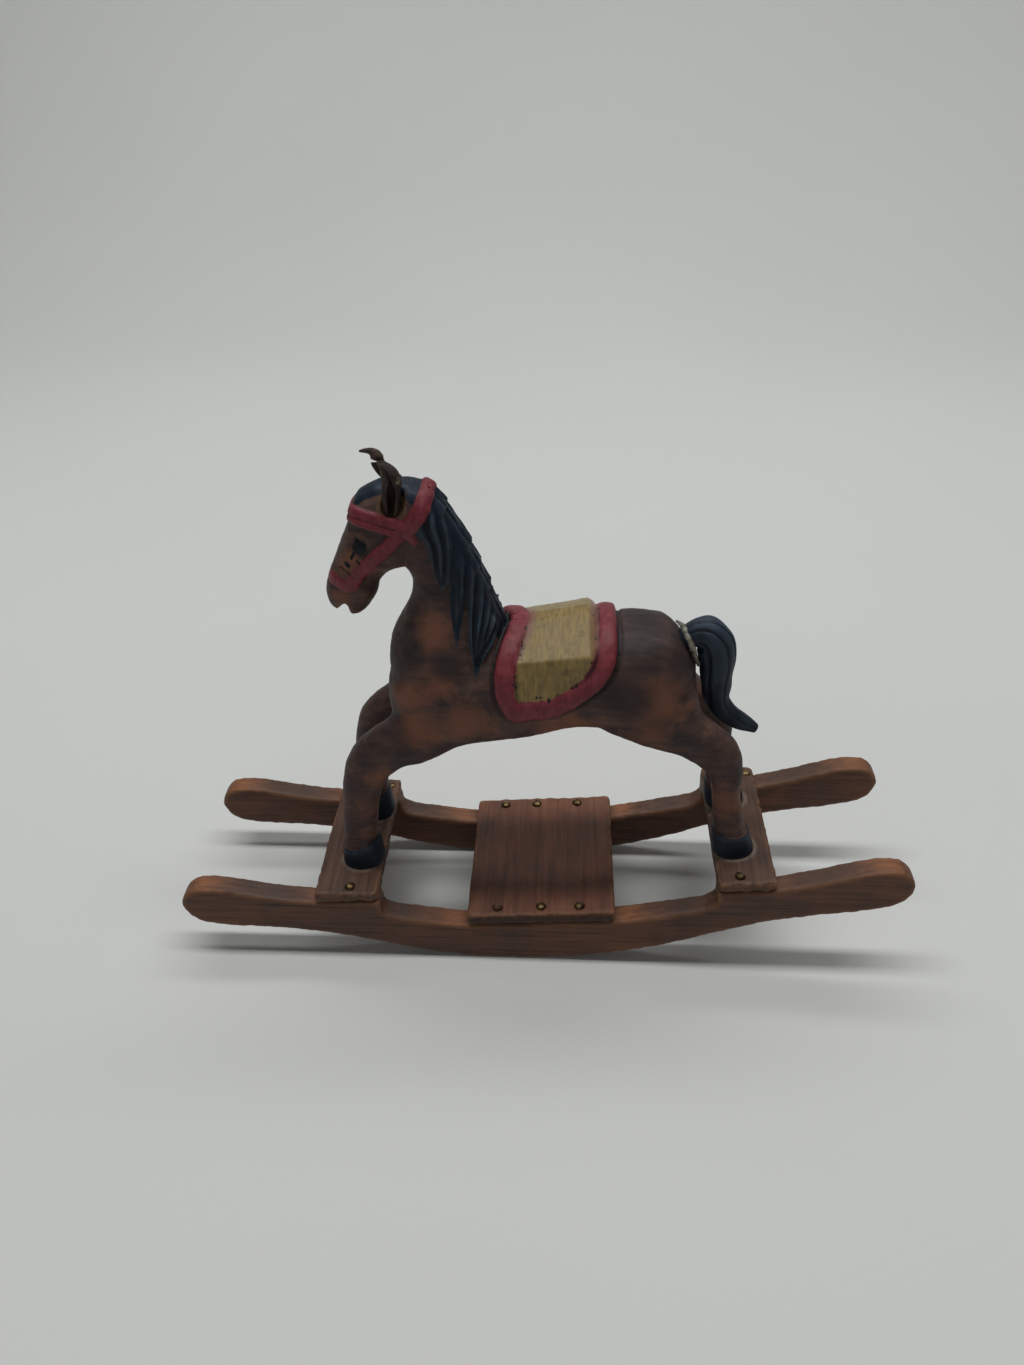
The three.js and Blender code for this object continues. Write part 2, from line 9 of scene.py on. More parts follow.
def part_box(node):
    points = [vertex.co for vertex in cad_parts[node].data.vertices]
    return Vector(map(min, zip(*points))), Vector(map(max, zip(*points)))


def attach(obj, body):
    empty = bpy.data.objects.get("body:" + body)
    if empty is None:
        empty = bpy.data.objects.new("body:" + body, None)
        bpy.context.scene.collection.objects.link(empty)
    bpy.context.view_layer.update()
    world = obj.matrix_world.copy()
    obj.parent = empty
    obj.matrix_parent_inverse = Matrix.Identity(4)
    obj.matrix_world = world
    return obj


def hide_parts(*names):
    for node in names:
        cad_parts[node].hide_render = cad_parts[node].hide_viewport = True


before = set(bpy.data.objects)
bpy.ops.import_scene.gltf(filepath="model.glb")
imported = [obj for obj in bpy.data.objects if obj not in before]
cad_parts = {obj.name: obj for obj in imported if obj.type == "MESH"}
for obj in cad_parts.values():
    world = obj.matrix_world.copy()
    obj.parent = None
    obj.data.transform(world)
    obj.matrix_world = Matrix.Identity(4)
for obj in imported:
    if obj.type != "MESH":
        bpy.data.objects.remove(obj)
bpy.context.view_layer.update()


# Rockers
# Two thin planks sawn on edge to a shallow curve, with paddle ends that are rounded with a knife.
# They are softwood stained dark and rubbed pale along the sawn edges.

def linear(code):
    parts = [int(code[i:i + 2], 16) / 255 for i in (1, 3, 5)]
    return [c / 12.92 if c <= 0.04045 else ((c + 0.055) / 1.055) ** 2.4 for c in parts] + [1.0]


def add_node(tree, kind, output=0, stops=(), **values):
    """Adds a node, sets or links what is named, and gives back one of its outputs."""
    node = tree.nodes.new("ShaderNode" + kind)
    for name, value in values.items():
        if hasattr(node, name):
            setattr(node, name, value)
            continue
        socket = node.inputs[int(name[1:]) if name[1:].isdigit() else name]
        if isinstance(value, bpy.types.NodeSocket):
            tree.links.new(value, socket)
        else:
            socket.default_value = linear(value) if isinstance(value, str) else value
    elements = node.color_ramp.elements if stops else ()
    while len(elements) < len(stops):
        elements.new(0.5)
    for element, (place, tone) in zip(elements, stops):
        element.position = place
        element.color = linear(tone) if isinstance(tone, str) else [tone, tone, tone, 1.0]
    return node.outputs[output]


def new_finish(name, ior, roughness, metallic=0.0, specular=0.5):
    """A material with its fixed values on the shader's own sockets, and the place its patterns use."""
    material = bpy.data.materials.new(name)
    material.use_nodes = True
    tree = material.node_tree
    shader = tree.nodes["Principled BSDF"]
    shader.inputs["IOR"].default_value = ior
    shader.inputs["Roughness"].default_value = roughness
    shader.inputs["Metallic"].default_value = metallic
    shader.inputs["Specular IOR Level"].default_value = specular
    return material, tree, add_node(tree, "TexCoord", "Object")


def finished(material, **sources):
    """Joins the colour, roughness or relief that was worked out to the shader."""
    tree = material.node_tree
    for name, source in sources.items():
        tree.links.new(source, tree.nodes["Principled BSDF"].inputs[name.replace("_", " ")])
    return material


def coats(tree, colour, layers):
    """Lays coats over a colour, each with where it lies, how thickly, and its own colour."""
    for where, thickness, tone in layers:
        share = add_node(tree, "Math", operation="MULTIPLY", _0=where, _1=thickness)
        colour = add_node(tree, "Mix", 2, data_type="RGBA", Factor=share, _6=colour, _7=tone)
    return colour


MM = 0.001
rest_lean = math.radians(4.15)
board_middle = (0.3, 17.5)
seat_low, seat_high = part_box("footboard")
seat_middle = (seat_low + seat_high) / 2 / MM
shift_x = seat_middle.x - (board_middle[0] * math.cos(rest_lean) - board_middle[1] * math.sin(rest_lean))
shift_z = seat_middle.z - (board_middle[0] * math.sin(rest_lean) + board_middle[1] * math.cos(rest_lean))


def leaned(points, lift=0.0):
    """From upright millimetres (along, across, up) to the place where the rocker rests, in metres."""
    points = np.asarray(points, float)
    along, across, up = points[:, 0], points[:, 1], points[:, 2] + lift
    x = along * math.cos(rest_lean) - up * math.sin(rest_lean) + shift_x
    z = along * math.sin(rest_lean) + up * math.cos(rest_lean) + shift_z
    return np.stack([x, across, z], 1) * MM


def upright(points):
    points = np.asarray(points, float) / MM
    x, z = points[:, 0] - shift_x, points[:, 2] - shift_z
    along = x * math.cos(rest_lean) + z * math.sin(rest_lean)
    up = -x * math.sin(rest_lean) + z * math.cos(rest_lean)
    return np.stack([along, points[:, 1], up], 1)


def fetched(items, field, wide=3, kind=np.float32):
    values = np.zeros(len(items) * wide, kind)
    items.foreach_get(field, values)
    return values.reshape(-1, wide)


def mesh_points(mesh):
    return fetched(mesh.vertices, "co").astype(float)


def mesh_normals(mesh):
    return fetched(mesh.vertex_normals, "vector").astype(float)


def mesh_edges(mesh):
    return fetched(mesh.edges, "vertices", 2, np.int32)


def set_points(mesh, points):
    mesh.vertices.foreach_set("co", np.asarray(points, np.float32).ravel())
    mesh.update()


def relaxed(values, edges, rounds, share=0.5):
    """Each value moves towards the mean of its neighbours; share may differ from point to point."""
    count, (a, b) = len(values), edges.T
    near = np.bincount(edges.ravel(), minlength=count).clip(1)[:, None]
    values = values.reshape(count, -1).copy()
    share = np.broadcast_to(np.asarray(share, float).reshape(-1, 1), (count, 1))
    for _ in range(rounds):
        sums = [np.bincount(a, c[b], count) + np.bincount(b, c[a], count) for c in values.T]
        values += share * (np.stack(sums, 1) / near - values)
    return values


def keep_value(mesh, name, values):
    attribute = mesh.attributes.new(name, "FLOAT", "POINT")
    attribute.data.foreach_set("value", np.asarray(values, np.float32).ravel())


def keep_edges(mesh, reach=0.35):
    """Notes how far each point stands out from the surface around it: 1 on corners, 0 in hollows."""
    points, edges = mesh_points(mesh), mesh_edges(mesh)
    flat = relaxed(points, edges, 6)
    out = ((points - flat) * mesh_normals(mesh)).sum(1)
    keep_value(mesh, "edge", np.clip(0.5 + relaxed(out, edges, 2)[:, 0] / reach / 2, 0, 1))


def noises(points, size, seed):
    offset = Vector((seed * 17.3, seed * 5.1, seed * 9.7))
    return np.array([noise.noise(Vector(p) / size + offset) for p in points])


def shown_mesh(name, mesh, material):
    piece = bpy.data.objects.new(name, mesh)
    bpy.context.scene.collection.objects.link(piece)
    mesh.polygons.foreach_set("use_smooth", [True] * len(mesh.polygons))
    mesh.materials.clear()
    mesh.materials.append(material)
    return piece


def remeshed(mesh, cell, cutter=None):
    """The mesh as one even skin of small squares, with a cutter's shape taken out of it."""
    holder = bpy.data.objects.new("holder", mesh)
    bpy.context.scene.collection.objects.link(holder)
    wrap = holder.modifiers.new("wrap", "REMESH")
    wrap.mode = "VOXEL"
    wrap.voxel_size = cell
    if cutter:
        tool = bpy.data.objects.new("tool", cutter)
        bpy.context.scene.collection.objects.link(tool)
        cut = holder.modifiers.new("cut", "BOOLEAN")
        cut.operation = "DIFFERENCE"
        cut.object = tool
        again = holder.modifiers.new("again", "REMESH")
        again.mode = "VOXEL"
        again.voxel_size = cell
    bpy.context.view_layer.update()
    done = bpy.data.meshes.new_from_object(holder.evaluated_get(bpy.context.evaluated_depsgraph_get()))
    bpy.data.objects.remove(holder)
    if cutter:
        bpy.data.objects.remove(tool)
    return done


def hand_sawn(node, seed, cell=0.55, chips=0.25):
    """A board's solid with its corners eased and its faces slightly uneven, as a knife leaves them."""
    stain_skin, wander = 0.15, 0.16
    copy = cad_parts[node].data.copy()
    set_points(copy, upright(mesh_points(copy)))
    mesh = remeshed(copy, cell)
    edges = mesh_edges(mesh)
    points = relaxed(mesh_points(mesh), edges, 2)
    set_points(mesh, points)
    normals = mesh_normals(mesh)
    corner = np.clip(((points - relaxed(points, edges, 8)) * normals).sum(1) / 0.3, 0, 1)
    chipped = chips * corner * (noises(points, 2.3, seed + 3) + 0.5).clip(0)
    amount = stain_skin + wander * noises(points, 7.0, seed) - chipped
    set_points(mesh, points + normals * amount[:, None])
    keep_edges(mesh)
    points, normals = mesh_points(mesh), mesh_normals(mesh)
    keep_value(mesh, "end", np.clip(np.abs(normals[:, 1]) * 3 - 1.6, 0, 1))
    # Rubbed and sooty bands cross the rockers' upper edges, each at its distance from the middle.
    run, topside = np.abs(points[:, 0]), np.clip(normals[:, 2] * 2 - 1, 0, 1)
    for name, bands in (("worn", ((27, 4), (65, 5), (103, 6))), ("soot", ((43, 8), (84, 10)))):
        value = sum(np.exp(-((run - middle) / wide) ** 2) for middle, wide in bands)
        keep_value(mesh, name, value * topside)
    # A low ring of dried glue lies round each hoof.
    far = np.full(len(points), 9.0)
    for along in (-54.6, 59.4):
        for across in (-11, 11):
            ring = np.hypot((points[:, 0] - along) / 6.6, (points[:, 1] - across) / 5.9)
            far = np.minimum(far, np.abs(ring - 1.02) * 6)
    far += 9 * (normals[:, 2] < 0.6)
    glue = np.clip(1 - far / 0.9, 0, 1)
    keep_value(mesh, "glue", glue)
    placed = leaned(points + (0, 0, 1) * (0.3 * glue)[:, None])
    placed[:, 2] = placed[:, 2].clip(0)
    set_points(mesh, placed)
    return mesh


# Pine stained walnut brown, sawn and rubbed down: dull, with fine long grain, soft blotches of old
# varnish and paler dry wood on the edges. The grain is 1 to 2 mm wide and the blotches are 22 mm.
def stained_pine(name, grain_mm, dark, middle, pale, end_dark=0.0, worn_part=0.0):
    """grain_mm is the size of one grain streak along x, y and z."""
    material, tree, place = new_finish(name, ior=1.5, roughness=0.6, specular=0.32)
    drawn = add_node(tree, "Mapping", Vector=place, Scale=[1.0 / size for size in grain_mm])
    grain = add_node(tree, "TexNoise", Vector=drawn, Scale=1 / MM, Detail=6.0, Roughness=0.62)
    blotch = add_node(
        tree, "TexNoise", Vector=place, Scale=1 / (22 * MM), Detail=4.0, Roughness=0.6, Distortion=0.4
    )
    edge = add_node(tree, "Attribute", "Fac", attribute_name="edge")
    tone = add_node(tree, "Math", operation="MULTIPLY", _0=blotch, _1=0.5)
    tone = add_node(tree, "Math", operation="MULTIPLY_ADD", _0=grain, _1=0.55, _2=tone)
    colour = add_node(tree, "ValToRGB", Fac=tone, stops=[(0.36, dark), (0.54, middle), (0.74, pale)])
    worn = add_node(tree, "ValToRGB", Fac=edge, stops=[(0.56, 0.0), (0.82, 1.0)])
    worn = add_node(tree, "Math", operation="MULTIPLY", _0=worn, _1=blotch)
    layers = [(worn, 1.0, "#8d6443")]
    streaks = add_node(tree, "ValToRGB", Fac=grain, stops=[(0.3, 0.4), (0.6, 1.0)])
    for patch, thickness, tone in (
        ("soot", worn_part, "#3b322d"), ("worn", worn_part, "#8f5c3a"),
        ("end", end_dark, "#17110f"), ("glue", 0.7, "#857c6e"),
    ):
        where = add_node(tree, "Attribute", "Fac", attribute_name=patch)
        where = add_node(tree, "Math", operation="MULTIPLY", _0=where, _1=streaks)
        layers.append((where, thickness, tone))
    shine = add_node(tree, "ValToRGB", Fac=blotch, stops=[(0.3, 0.5), (0.7, 0.7)])
    relief = add_node(tree, "Bump", Strength=0.5, Distance=0.25 * MM, Height=grain)
    colour = coats(tree, colour, layers)
    return finished(material, Base_Color=colour, Roughness=shine, Normal=relief)


rocker_stain = stained_pine(
    "stained_pine_rocker", (30.0, 1.4, 1.1), "#36231b", "#5d3e2f", "#7b533d", worn_part=0.7
)
for seed, node in enumerate(("rocker_left", "rocker_right")):
    rocker = shown_mesh(node + "_sawn", hand_sawn(node, 11 + seed), rocker_stain)
    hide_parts(node)
    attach(rocker, "root")


# Cross boards
# Two thin slats under the hooves and one wide footboard in the middle, split from thin stock with
# the grain running across the rockers, stained with them and nailed down at each end.

slat_stain = stained_pine("stained_pine_slat", (1.3, 34.0, 1.3), "#2f2019", "#533a2d", "#6e4f3d")
board_stain = stained_pine(
    "stained_pine_footboard", (1.6, 38.0, 1.6), "#42291f", "#653f2f", "#7f563f", end_dark=0.85
)
boards = [("slat_front", slat_stain, 0.9), ("slat_rear", slat_stain, 0.9), ("footboard", board_stain, 0.45)]
for seed, (node, stain, chips) in enumerate(boards):
    board = shown_mesh(node + "_sawn", hand_sawn(node, 21 + seed, 0.5, chips), stain)
    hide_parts(node)
    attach(board, "root")


# Nails
# Ten small domed brass tacks, driven by hand a little askew. Their heads have gone dull and brown
# in spots and keep a little yellow shine between them.

# Brass, pressed and then tarnished: a dull brown-yellow metal in spots of 1.4 mm, with a small shine.
def tarnished_brass():
    material, tree, place = new_finish("brass_tarnished", ior=1.5, roughness=0.38, metallic=1.0)
    spots = add_node(tree, "TexNoise", Vector=place, Scale=1 / (1.4 * MM), Detail=4.0)
    tones = [(0.35, "#35291c"), (0.55, "#66523a"), (0.75, "#94805a")]
    colour = add_node(tree, "ValToRGB", Fac=spots, stops=tones)
    shine = add_node(tree, "ValToRGB", Fac=spots, stops=[(0.3, 0.6), (0.7, 0.32)])
    return finished(material, Base_Color=colour, Roughness=shine)


brass = tarnished_brass()


def tack(node, seed):
    """A nail with its domed head 3.2 mm wide; the far ones on the slats are driven deeper."""
    low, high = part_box(node)
    rng = np.random.default_rng(seed)
    head, dome, deep, sides = 1.6, 0.95, 4.0, 28
    profile = [(0.35, -deep), (0.55, -0.3), (head * 0.94, -0.12), (head, 0.08), (head * 0.9, 0.42)]
    profile += [(head * 0.66, 0.72), (head * 0.34, dome * 0.95)]
    points, faces = [(0.0, 0.0, -deep)], []
    for radius, up in profile:
        for i in range(sides):
            turn = 2 * math.pi * i / sides
            reach = radius * (1 + 0.03 * math.sin(3 * turn + seed))
            points.append((reach * math.cos(turn), reach * math.sin(turn), up))
    points.append((0.0, 0.0, dome))
    last = 1 + (len(profile) - 1) * sides
    for i in range(sides):
        after = (i + 1) % sides
        faces.append((0, 1 + after, 1 + i))
        for a in range(1, last, sides):
            faces.append((a + i, a + after, a + sides + after, a + sides + i))
        faces.append((last + i, last + after, len(points) - 1))
    tip_x, tip_y = rng.uniform(-0.12, 0.12), rng.uniform(-0.12, 0.12)
    askew = Matrix.Rotation(tip_x, 3, "X") @ Matrix.Rotation(tip_y, 3, "Y")
    places = np.array(points) @ np.array(askew).T
    middle = upright([((low + high) / 2)[:]])[0]
    top = upright([(high.x, 0, high.z), (low.x, 0, high.z)])[:, 2].mean()
    sunk = 0.55 if node.startswith("nail_slat") and node.endswith("right") else 0.1
    places += (middle[0], middle[1], top - dome - sunk)
    mesh = bpy.data.meshes.new(node + "_head")
    mesh.from_pydata([tuple(p) for p in leaned(places)], [], faces)
    return shown_mesh(node + "_head", mesh, brass)


for seed, node in enumerate(sorted(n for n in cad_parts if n.startswith("nail_"))):
    nail = tack(node, seed)
    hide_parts(node)
    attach(nail, "root")


# Horse
# Carved with a knife from one block of soft wood: head, neck, mane, bridle, body, saddle and legs.
# It is stained brown, then the bridle and the saddle's rim are painted crimson, the seat dull gold,
# and the mane and hooves blue black. It stands glued on the slats by its hooves.

# Upright height of the soles, and how far each foot stands from the middle, in mm. A station gives a
# ring's place along, up and inwards, half its depth and width, and its lean in degrees.
sole = 30.5
spread = 11.0
stations = {
    "torso": [
        (-39.3, 56, 0, 4, 4, 90), (-37.2, 56, 0, 10.5, 9, 90), (-32, 56.3, 0, 16, 13.8, 90),
        (-22, 57.4, 0, 18, 16.6, 90), (-10, 58.8, 0, 17.8, 17.2, 90), (2, 59.6, 0, 17, 17.2, 90),
        (12, 60.5, 0, 15.8, 16.7, 90), (22, 60.1, 0, 15.7, 16.6, 90), (32, 59, 0, 17.1, 16.8, 90),
        (39.8, 58, 0, 16.4, 15, 90), (45.1, 57, 0, 12.2, 10.8, 90), (48.2, 56.6, 0, 5.5, 4.6, 90),
    ],
    "neck": [
        (-20.5, 54, 0, 17, 13, 0), (-20.3, 68, 0, 17.4, 14.6, 0), (-19.8, 77, 0, 15.4, 13.2, 0),
        (-19.2, 84, 0, 11.8, 11.3, 0), (-18.6, 91, 0, 9.2, 9.8, 0), (-19.4, 98, 0, 8.4, 9, 0),
        (-21.6, 105, 0, 8.2, 8.4, 0), (-24, 112, 0, 8, 7.8, 0), (-26, 117.5, 0, 6.5, 6.4, 0),
        (-27.4, 120.6, 0, 3.4, 3.4, 0),
    ],
    "head": [
        (-27.6, 117.4, 0, 6, 5.4, 149), (-30.8, 111.4, 0, 10.3, 7.9, 149), (-34.7, 105.6, 0, 9.3, 8.4, 149),
        (-39.2, 100.3, 0, 7.9, 7.5, 149), (-42.8, 95.7, 0, 6.6, 6.3, 149), (-45, 91.6, 0, 6.3, 5.5, 150),
        (-46.6, 87.9, 0, 5.9, 5, 154), (-47.2, 84.6, 0, 3.7, 3.8, 160),
    ],
    "foreleg": [
        (-22, 53.2, 2.5, 10.9, 6.4, 106), (-33, 46.2, 1.5, 8.8, 6.4, 110), (-40, 43.2, 0.8, 7.6, 5.9, 112),
        (-45.9, 38.8, 0.4, 7.0, 5.6, 132), (-49.3, 32.2, 0, 6.2, 5.3, 166), (-51.5, 25, 0, 5.4, 4.9, 171),
        (-53, 17.5, 0, 5.2, 4.7, 172), (-54, 10.5, 0, 5.4, 4.8, 190), (-54.4, 7.2, 0, 6.2, 5.4, 200),
        (-54.6, 0, 0, 6.2, 5.4, 180),
    ],
    "hindleg": [
        (30.6, 56.6, 3, 14.4, 6.2, 46), (39.2, 49.6, 1.6, 11.6, 6.8, 46), (47, 42.8, 0.8, 7.1, 5.9, 48),
        (54, 36.2, 0.3, 6.3, 5.2, 34), (56.3, 30, 0, 4.9, 4.6, 6), (56.5, 24, 0, 4.2, 4.3, 0),
        (57.2, 16.5, 0, 4.3, 4.3, 0), (57.9, 10, 0, 4.6, 4.6, -2), (58.4, 7.4, 0, 5.3, 5.4, -4),
        (59.4, 0, 0, 5.9, 5.4, 0),
    ],
    "crest": [
        (-22.2, 118, 0, 2.8, 3, 0), (-19.6, 113, 0, 3, 4, 0), (-16.6, 106, 0, 3.4, 4.8, 0),
        (-14, 98.5, 0, 3.6, 5.2, 0), (-11.8, 91, 0, 3.6, 5.4, 0), (-9.8, 84, 0, 3.8, 5.2, 0),
        (-7.8, 78, 0, 3.6, 4.6, 0), (-7.2, 73, 0, 2.6, 3.4, 0),
    ],
}
roundness = 2.3  # 2 makes a limb round, and more makes it squarer


def eased(line, way):
    """A point at a share of the way along a line of points, on a smooth curve through them."""
    line = np.asarray(line, float)
    at = min(max(way, 0.0), 1.0) * (len(line) - 1)
    i = min(int(at), len(line) - 2)
    f = at - i
    before, here, there, after = line[max(i - 1, 0)], line[i], line[i + 1], line[min(i + 2, len(line) - 1)]
    start, end = (there - before) / 2, (after - here) / 2
    bend = 3 * (there - here) - 2 * start - end
    return here + f * (start + f * (bend + f * (2 * (here - there) + start + end)))


def skin(rows, way, turns, side=0):
    """Points round a limb at a share of its way; turn 0 is the way it leans and a quarter is across."""
    along, up, across, half, wide, lean = eased(rows, way)
    lean = math.radians(lean)
    power = 2 / roundness
    c = np.sign(np.cos(turns)) * np.abs(np.cos(turns)) ** power * half
    s = np.sign(np.sin(turns)) * np.abs(np.sin(turns)) ** power * wide
    middle = side * (spread - across) if side else 0.0
    return np.stack([along + c * math.cos(lean), middle + s, up + c * math.sin(lean)], 1)


def add_rings(points, faces, rings):
    """Adds a closed form through rings of points, with a flat face at each end."""
    start, sides = len(points), len(rings[0])
    for ring in rings:
        points.extend(map(tuple, ring))
    last = start + (len(rings) - 1) * sides
    for a in range(start, last, sides):
        for i in range(sides):
            j = (i + 1) % sides
            faces.append((a + i, a + j, a + sides + j, a + sides + i))
    faces.append(tuple(range(start, start + sides))[::-1])
    faces.append(tuple(range(last, last + sides)))


def built(name, points, faces):
    """A mesh of the points and faces, turned so that its faces look out."""
    mesh = bpy.data.meshes.new(name)
    mesh.from_pydata(points, [], faces)
    work = bmesh.new()
    work.from_mesh(mesh)
    bmesh.ops.recalc_face_normals(work, faces=work.faces)
    work.to_mesh(mesh)
    work.free()
    return mesh


turns, steps = np.linspace(0, 2 * math.pi, 40, endpoint=False), 6
limbs = [(name, 0) for name in ("torso", "neck", "head", "crest")]
limbs += [(name, side) for side in (-1, 1) for name in ("foreleg", "hindleg")]
points, faces = [], []
for name, side in limbs:
    count = (len(stations[name]) - 1) * steps
    add_rings(points, faces, [skin(stations[name], i / count, turns, side) for i in range(count + 1)])
block = built("block", points, faces)

# The ear holes and the mouth are cut into the block before the fine carving.
ear_lean = math.radians(12)
ear_forward = {-1: math.radians(-11), 1: math.radians(8)}


def ear_pose(side):
    turn = Matrix.Rotation(-ear_forward[side], 4, "Y") @ Matrix.Rotation(-side * ear_lean, 4, "X")
    return Matrix.Translation((-29, side * 5.0, 116.2)) @ turn


ear_hole = 2.95
cut_points, cut_faces = [], []
for side in (-1, 1):
    rings = []
    for up in (-2.6, 14):
        around = [2 * math.pi * i / 24 for i in range(24)]
        rings.append(
            [ear_pose(side) @ Vector((ear_hole * math.cos(t), ear_hole * math.sin(t), up)) for t in around]
        )
    add_rings(cut_points, cut_faces, rings)
mouth = [(-54, 81), (-45.3, 81), (-45.9, 88.4), (-47.3, 87.9), (-48.9, 86.2), (-54, 87.4)]
add_rings(cut_points, cut_faces, [[(along, across, up) for along, up in mouth] for across in (8, -8)])
carving = remeshed(block, 0.54, built("tools", cut_points, cut_faces))

# P holds the carving's points from here on, in upright millimetres above the soles. The throat is
# drawn in behind the jaw, and the places where the limbs meet are smoothed into one another.
edges = mesh_edges(carving)
P = mesh_points(carving)
jaw = np.linalg.norm(P[:, [0, 2]] - (-36.3, 94.8), axis=1)
P[:, 1] *= 1 - 0.42 * np.clip(1.3 - jaw / 3.9, 0, 1)
joints = [
    (-24, 0, 76, 12), (-30, 0, 99, 7), (-20, 0, 76, 12), (-38, 11, 45, 9), (-38, -11, 45, 9),
    (-25, 12, 46, 9), (-25, -12, 46, 9), (40, 12, 50, 12), (40, -12, 50, 12), (-10, 0, 76, 8),
    (-30, 8, 112, 5), (-30, -8, 112, 5),
]
soft = np.zeros(len(P))
for along, across, up, reach in joints:
    near = np.linalg.norm(P - (along, across, up), axis=1)
    soft = np.maximum(soft, np.clip(1.4 - near / reach, 0, 1))
P = relaxed(P, edges, 26, 0.5 * soft)
P = relaxed(P, edges, 2, 0.5)
set_points(carving, P)
# More wood in the throat's top and behind the jaw, and less behind the thigh.
for along, up, reach, amount in ((-28.6, 99.4, 3.2, 1.5), (-39.2, 89.4, 3.6, 1.1), (53.0, 51.5, 4.0, -1.2)):
    near = np.hypot(P[:, 0] - along, P[:, 2] - up)
    P = P + mesh_normals(carving) * (amount * np.exp(-(near / reach) ** 2))[:, None]
P = relaxed(P, edges, 1, 0.5)
set_points(carving, P)


def to_line(places, line):
    """Distance from each place to a line of points, and the share of the way along it."""
    line = np.asarray(line, float)
    lengths = np.linalg.norm(np.diff(line, axis=0), axis=1).clip(1e-9)
    best = np.full(len(places), 1e9)
    way = np.zeros(len(places))
    run = 0.0
    for a, b, length in zip(line[:-1], line[1:], lengths):
        t = np.clip(((places - a) @ (b - a)) / length ** 2, 0, 1)
        far = np.linalg.norm(places - a - t[:, None] * (b - a), axis=1)
        nearer = far < best
        best[nearer] = far[nearer]
        way[nearer] = (run + t[nearer] * length) / lengths.sum()
        run += length
    return best, way


def curve(line, count=24):
    return np.array([eased(line, i / (count - 1)) for i in range(count)])


def within(places, outline):
    """How far inside a closed outline each place is; negative outside it."""
    outline = np.asarray(outline, float)
    closed = np.vstack([outline, outline[:1]])
    far, _ = to_line(places, closed)
    inside = np.zeros(len(places), bool)
    x, y = places[:, 0], places[:, 1]
    for (x0, y0), (x1, y1) in zip(closed[:-1], closed[1:]):
        crosses = (y0 > y) != (y1 > y)
        inside ^= crosses & (x < (x1 - x0) * (y - y0) / (y1 - y0 + 1e-12) + x0)
    return np.where(inside, far, -far)


def step(values, low, high):
    t = np.clip((values - low) / (high - low), 0, 1)
    return t * t * (3 - 2 * t)


def carve(amount):
    """Moves the skin out by so many millimetres at each point, or in where it is below zero."""
    global P
    P = P + mesh_normals(carving) * np.asarray(amount)[:, None]
    set_points(carving, P)


paint = {}


def painted(name, inside, soften=1.0):
    """Keeps a painted patch by its distance inside the edge, so that the edge stays crisp."""
    value = np.clip(0.5 + np.asarray(inside) / soften / 2, 0, 1)
    paint[name] = np.maximum(paint.get(name, np.zeros(len(value))), value)


side_view = P[:, [0, 2]]

# Mane: on each side three long locks of V-cut strands, that fall from the crest to sharp tips.
locks = [
    {
        "front": [(-21.5, 117.5), (-24.2, 110.8), (-21.7, 106.5), (-20.4, 99.5), (-18.8, 93.3)],
        "rear": [(-18.5, 117.5), (-15.2, 111.0), (-14.8, 104.0), (-16.2, 97.6), (-18.8, 93.3)],
    },
    {
        "front": [(-18.8, 117.0), (-16.4, 108.0), (-16.6, 97.5), (-17.2, 87.0), (-16.5, 77.8)],
        "rear": [(-12.5, 107.0), (-11.3, 100.0), (-12.0, 93.0), (-13.4, 87.5), (-16.5, 77.8)],
    },
    {
        "front": [(-14.5, 110.0), (-12.2, 100.0), (-12.7, 90.0), (-13.2, 78.0), (-12.2, 68.2)],
        "rear": [(-6.0, 92.0), (-3.3, 84.5), (-4.8, 79.5), (-8.4, 75.0), (-12.2, 68.2)],
    },
]
on_neck = step(P[:, 2], 64, 68) * step(P[:, 2], 121, 118) * step(P[:, 0], -26, -24)
mane_depth = np.full(len(P), -9.0)
rise = np.zeros(len(P))
for number, lock in enumerate(locks):
    front, rear = curve(lock["front"]), curve(lock["rear"])
    outline = np.vstack([front, rear[::-1][1:]])
    depth = within(side_view, outline)
    mane_depth = np.maximum(mane_depth, depth)
    lift = (0.9 + 0.35 * number) * step(depth, -0.25, 0.5) + 0.6 * step(depth, 0.3, 2.6)
    strands = 3 + number
    for i in range(1, strands):
        share = i / strands
        strand = front * (1 - share) + rear * share
        strand[:, 0] += 0.25 * np.sin(np.linspace(0, 5, len(strand)) + i + number)
        far, way = to_line(side_view, strand)
        reach = 1.5 * (1 - 0.6 * way)
        lift -= np.where(depth > 0, 1.35 * np.clip(1 - far / reach, 0, 1) * step(way, 1.0, 0.85), 0)
    rise = np.where(depth > -0.3, np.maximum(lift, rise * step(depth, 0.6, -0.3)), rise)
# Along the crest the hair steps down in notches, with grooves that run along its top.
crest_line = curve(
    [(-21.5, 120.5), (-17.8, 116.5), (-13.8, 108.5), (-11.0, 100.5), (-8.6, 92.5), (-6.2, 84.5), (-4.2, 77.5)]
)
behind, way = to_line(side_view, crest_line)
crest = step(np.abs(P[:, 1]), 6.5, 3.0) * step(behind, 4.6, 2.4) * on_neck
on_crest = (np.abs(P[:, 1]) < 7.0) & (behind < 7.0)
mane_depth = np.maximum(mane_depth, np.where(on_crest, 4.6 - behind, -9.0))
notch_ways = [0, 0.19, 0.2, 0.46, 0.47, 0.59, 0.6, 0.74, 0.75, 1]
saw = np.interp(way, notch_ways, [0, 0.8, 0, 0.9, 0, 0.8, 0.1, 0.9, 0, 0.4])
rise = rise * (1 - crest) + crest * (0.45 + 0.75 * saw)
for line in (-1.6, 0.0, 1.6):
    beside = np.abs(np.abs(P[:, 1]) - abs(line) - 0.35 * np.sin(way * 19 + line))
    rise -= 0.5 * crest * np.clip(1 - beside / 0.6, 0, 1)
carve(rise * on_neck)
